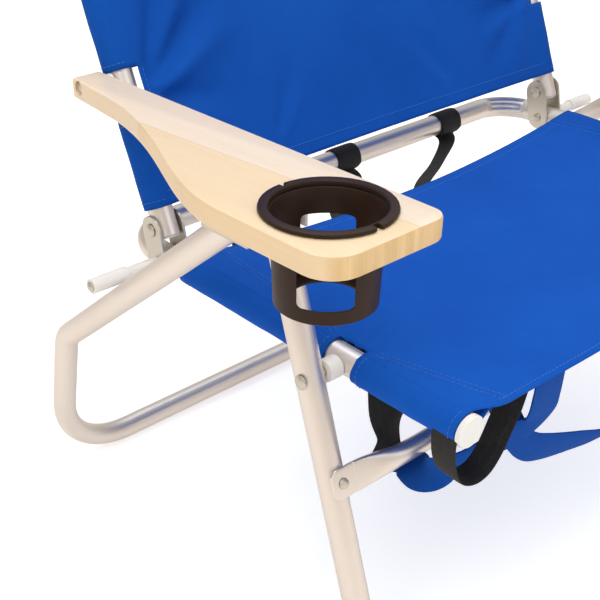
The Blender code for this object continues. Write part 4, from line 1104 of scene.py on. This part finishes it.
def make_shoulder_straps():
    """The two blue straps under the seat. A station is centre, width direction and width, as for ribbon."""
    right = [
        (0.0220, -0.2370, -0.0950, 0.3, 0.9, 0.2, 0.018),
        (0.0220, -0.2300, -0.1015, 0.2, 0.8, 0.5, 0.020),
        (0.0280, -0.2225, -0.1030, 0.165, 0.795, 0.584, 0.026),
        (0.0380, -0.2251, -0.1013, 0.165, 0.795, 0.584, 0.030),
        (0.0500, -0.2300, -0.0985, 0.05, 0.6, 0.75, 0.030),
        (0.0620, -0.2320, -0.0910, 0, 0.2, 0.85, 0.028),
        (0.0740, -0.2289, -0.0792, 0.05, -0.2, 0.85, 0.026),
        (0.0830, -0.2203, -0.0712, 0.1, -0.3, 0.85, 0.026),
        (0.0870, -0.2044, -0.0674, 0.1, -0.3, 0.85, 0.027),
        (0.0900, -0.1865, -0.0659, 0.1, -0.3, 0.85, 0.028),
        (0.0940, -0.1673, -0.0620, 0, -0.55, 0.75, 0.029),
        (0.1010, -0.1580, -0.0500, 0, -0.85, 0.4, 0.031),
        (0.1075, -0.1620, -0.0330, 0, -1, 0.15, 0.033),
        (0.1135, -0.1700, -0.0080, 0, -1, 0, 0.034),
        (0.1150, -0.1730, 0.0040, 0, -1, 0, 0.034),
    ]
    left = [
        (0.0928, -0.2090, -0.0030, 0, 0.85, 0.4, 0.026),
        (0.0928, -0.1968, -0.0217, 0, 0.8, 0.55, 0.026),
        (0.0928, -0.1840, -0.0442, 0, 0.8, 0.55, 0.026),
        (0.0928, -0.1661, -0.0709, 0, 0.7, 0.65, 0.026),
        (0.0935, -0.1500, -0.0870, 0, 0.4, 0.85, 0.026),
        (0.0940, -0.1267, -0.0985, 0.1, 0.05, 0.9, 0.026),
        (0.0940, -0.0853, -0.1138, 0.3, -0.1, 0.9, 0.026),
        (0.0940, -0.0441, -0.1270, 0.5, -0.1, 0.8, 0.028),
        (0.0940, 0.0200, -0.1360, 0.6, 0, 0.7, 0.030),
        (0.0940, 0.0900, -0.1360, 0.6, 0, 0.7, 0.030),
        (0.0940, 0.1600, -0.1180, 0.4, 0.2, 0.8, 0.030),
        (0.0935, 0.2080, -0.0800, 0.1, 0.6, 0.7, 0.028),
        (0.0928, 0.2300, -0.0400, 0, 0.9, 0.3, 0.026),
        (0.0928, 0.2360, -0.0030, 0, 1, 0.1, 0.026),
    ]
    for name, stations in (("right", right), ("left", left)):
        mesh = ribbon(stations, PAD_T, 8, PAD_CROWN, 14)
        piece("shoulder_pad_" + name, mesh, PAD, "seat", ["shoulder_strap_" + name], 60)


# ---------------------------------------------------------------- CAD nodes that stay

def soften(angle):
    """Geometry nodes that join a CAD node's facets and shade them smooth up to an angle."""
    group = bpy.data.node_groups.new(f"soften_{angle}", "GeometryNodeTree")
    for way in ("INPUT", "OUTPUT"):
        group.interface.new_socket("Geometry", in_out=way, socket_type="NodeSocketGeometry")
    start = node(group, "NodeGroupInput")
    strip = node(group, "GeometryNodeRemoveAttribute", Geometry=start.outputs[0], Name="custom_normal")
    merge = node(group, "GeometryNodeMergeByDistance", Geometry=strip.outputs[0], Distance=0.00001)
    faces = node(group, "GeometryNodeSetShadeSmooth", {"domain": "FACE"}, Geometry=merge.outputs[0])
    bend = node(group, "GeometryNodeInputMeshEdgeAngle").outputs["Unsigned Angle"]
    sharp = node(group, "FunctionNodeCompare", {"operation": "GREATER_THAN"}, A=bend, B=math.radians(angle))
    edges = node(group, "GeometryNodeSetShadeSmooth", {"domain": "EDGE"}, Geometry=faces.outputs[0],
                 Selection=sharp.outputs["Result"], **{"Shade Smooth": False})
    node(group, "NodeGroupOutput", Geometry=edges.outputs[0])
    return group


def dress_cad_nodes():
    """Materials and smooth shading for the frame's pieces that stay visible."""
    group = soften(33)
    kinds = {
        "armrest": WOOD, "cup_holder": PLASTIC, "foot_cap": RUBBER,
        "seat_plug": NYLON, "back_tube_plug": NYLON, "pin_collar": NYLON, "pin_sleeve": NYLON,
        "leg_spacer": NYLON, "leg_top_spacer": NYLON, "arm_washer": NYLON,
        "seat_spreader": TUBE_METAL,
    }
    for name, item in frame["nodes"].items():
        chosen = STEEL
        for prefix, material in kinds.items():
            if name.startswith(prefix):
                chosen = material
        item.data.materials.clear()
        item.data.materials.append(chosen)
        modifier = item.modifiers.new("soften", "NODES")
        modifier.node_group = group


# ---------------------------------------------------------------- floor, light and camera

FLOOR_HALF = 40.0
LAMPS = (  # name, place, side of the square and power in watts
    ("key", (0.9, -1.5, 2.3), 1.6, 22),
    ("top", (-0.3, 0.3, 2.6), 2.2, 28),
    ("front", (2.4, 0.6, 1.2), 1.4, 6),
)


def make_stage():
    """A white floor, a soft white surround that looks warm in reflections, and three soft lamps."""
    bm = bmesh.new()
    bmesh.ops.create_grid(bm, x_segments=2, y_segments=2, size=FLOOR_HALF)
    mesh = bpy.data.meshes.new("floor")
    bm.to_mesh(mesh)
    bm.free()
    mat, tree, bsdf = shader("pale_floor")
    tint = grains(tree, "Object", (2, 2, 2), 2.0)
    pale = blend_colours(tree, tint, (0.90, 0.90, 0.90, 1), (0.92, 0.92, 0.92, 1))
    glossy = node(tree, "LightPath").outputs["Is Glossy Ray"]
    camera_ray = node(tree, "LightPath").outputs["Is Camera Ray"]
    feed(bsdf, {
        "Base Color": blend_colours(tree, glossy, pale, (0.82, 0.73, 0.64, 1)),
        "Emission Color": (1.0, 1.0, 1.0, 1.0),
        "Emission Strength": spread(tree, camera_ray, 0.0, 1.0, 0.22, 0.46),
        "Roughness": 0.9,
        "Specular IOR Level": 0.1,
    })
    mesh.materials.append(mat)
    floor = add("floor", mesh)
    floor.location.z = -0.0005

    world = bpy.data.worlds.new("studio")
    bpy.context.scene.world = world
    world.use_nodes = True
    tree = world.node_tree
    sky = tree.nodes["Background"]
    height = node(tree, "SeparateXYZ", Vector=node(tree, "TexCoord").outputs["Generated"]).outputs["Z"]
    band = spread(tree, maths(tree, "ABSOLUTE", height), 0.05, 0.45, 1.0, 0.0)
    seen = maths(tree, "MULTIPLY", band, node(tree, "LightPath").outputs["Is Glossy Ray"])
    camera_ray = node(tree, "LightPath").outputs["Is Camera Ray"]
    feed(sky, {
        "Color": blend_colours(tree, seen, (1, 1, 1, 1), (0.95, 0.72, 0.54, 1)),
        "Strength": spread(tree, camera_ray, 0.0, 1.0, 0.55, 1.0),
    })
    for name, place, size, power in LAMPS:
        lamp = bpy.data.lights.new(name, "AREA")
        lamp.energy = power
        lamp.size = size
        item = add(name, lamp)
        item.location = place
        item.rotation_euler = (Vector((0, 0, 0.3)) - Vector(place)).to_track_quat("-Z", "Y").to_euler()


# The camera, placed from the seat's pivot
CAMERA_PLACE = (0.4743, -0.7689, 0.4429)
CAMERA_LOOK = Vector((-0.6215, 0.5436, -0.5641))
CAMERA_ROLL = math.radians(0.16)
CAMERA_LENS = 65.18
CAMERA_SHIFT = (0.0652, 0.1470)


def make_camera():
    """The photo's view needs a shifted lens, and other views don't.
    """
    data = bpy.data.cameras.new("camera")
    data.sensor_width = 36.0
    data.lens = CAMERA_LENS
    data.clip_start = 0.05
    camera = add("camera", data)
    camera.location = at(*CAMERA_PLACE)
    turn = CAMERA_LOOK.to_track_quat("-Z", "Y").to_matrix() @ Matrix.Rotation(CAMERA_ROLL, 3, "Z")
    camera.rotation_mode = "XYZ"
    camera.rotation_euler = turn.to_euler("XYZ")
    bpy.context.scene.camera = camera
    for path, shift in zip(("shift_x", "shift_y"), CAMERA_SHIFT):
        curve = data.driver_add(path)
        curve.driver.type = "SUM"
        mode = curve.driver.variables.new().targets[0]
        mode.id = camera
        mode.data_path = "rotation_mode"
        curve.modifiers[0].coefficients = (0.0, shift)


make_tubes()
make_seat_sling()
make_back_sling()
make_webbing()
make_shoulder_straps()
dress_cad_nodes()
make_stage()
make_camera()
bpy.context.scene.view_settings.view_transform = "Standard"
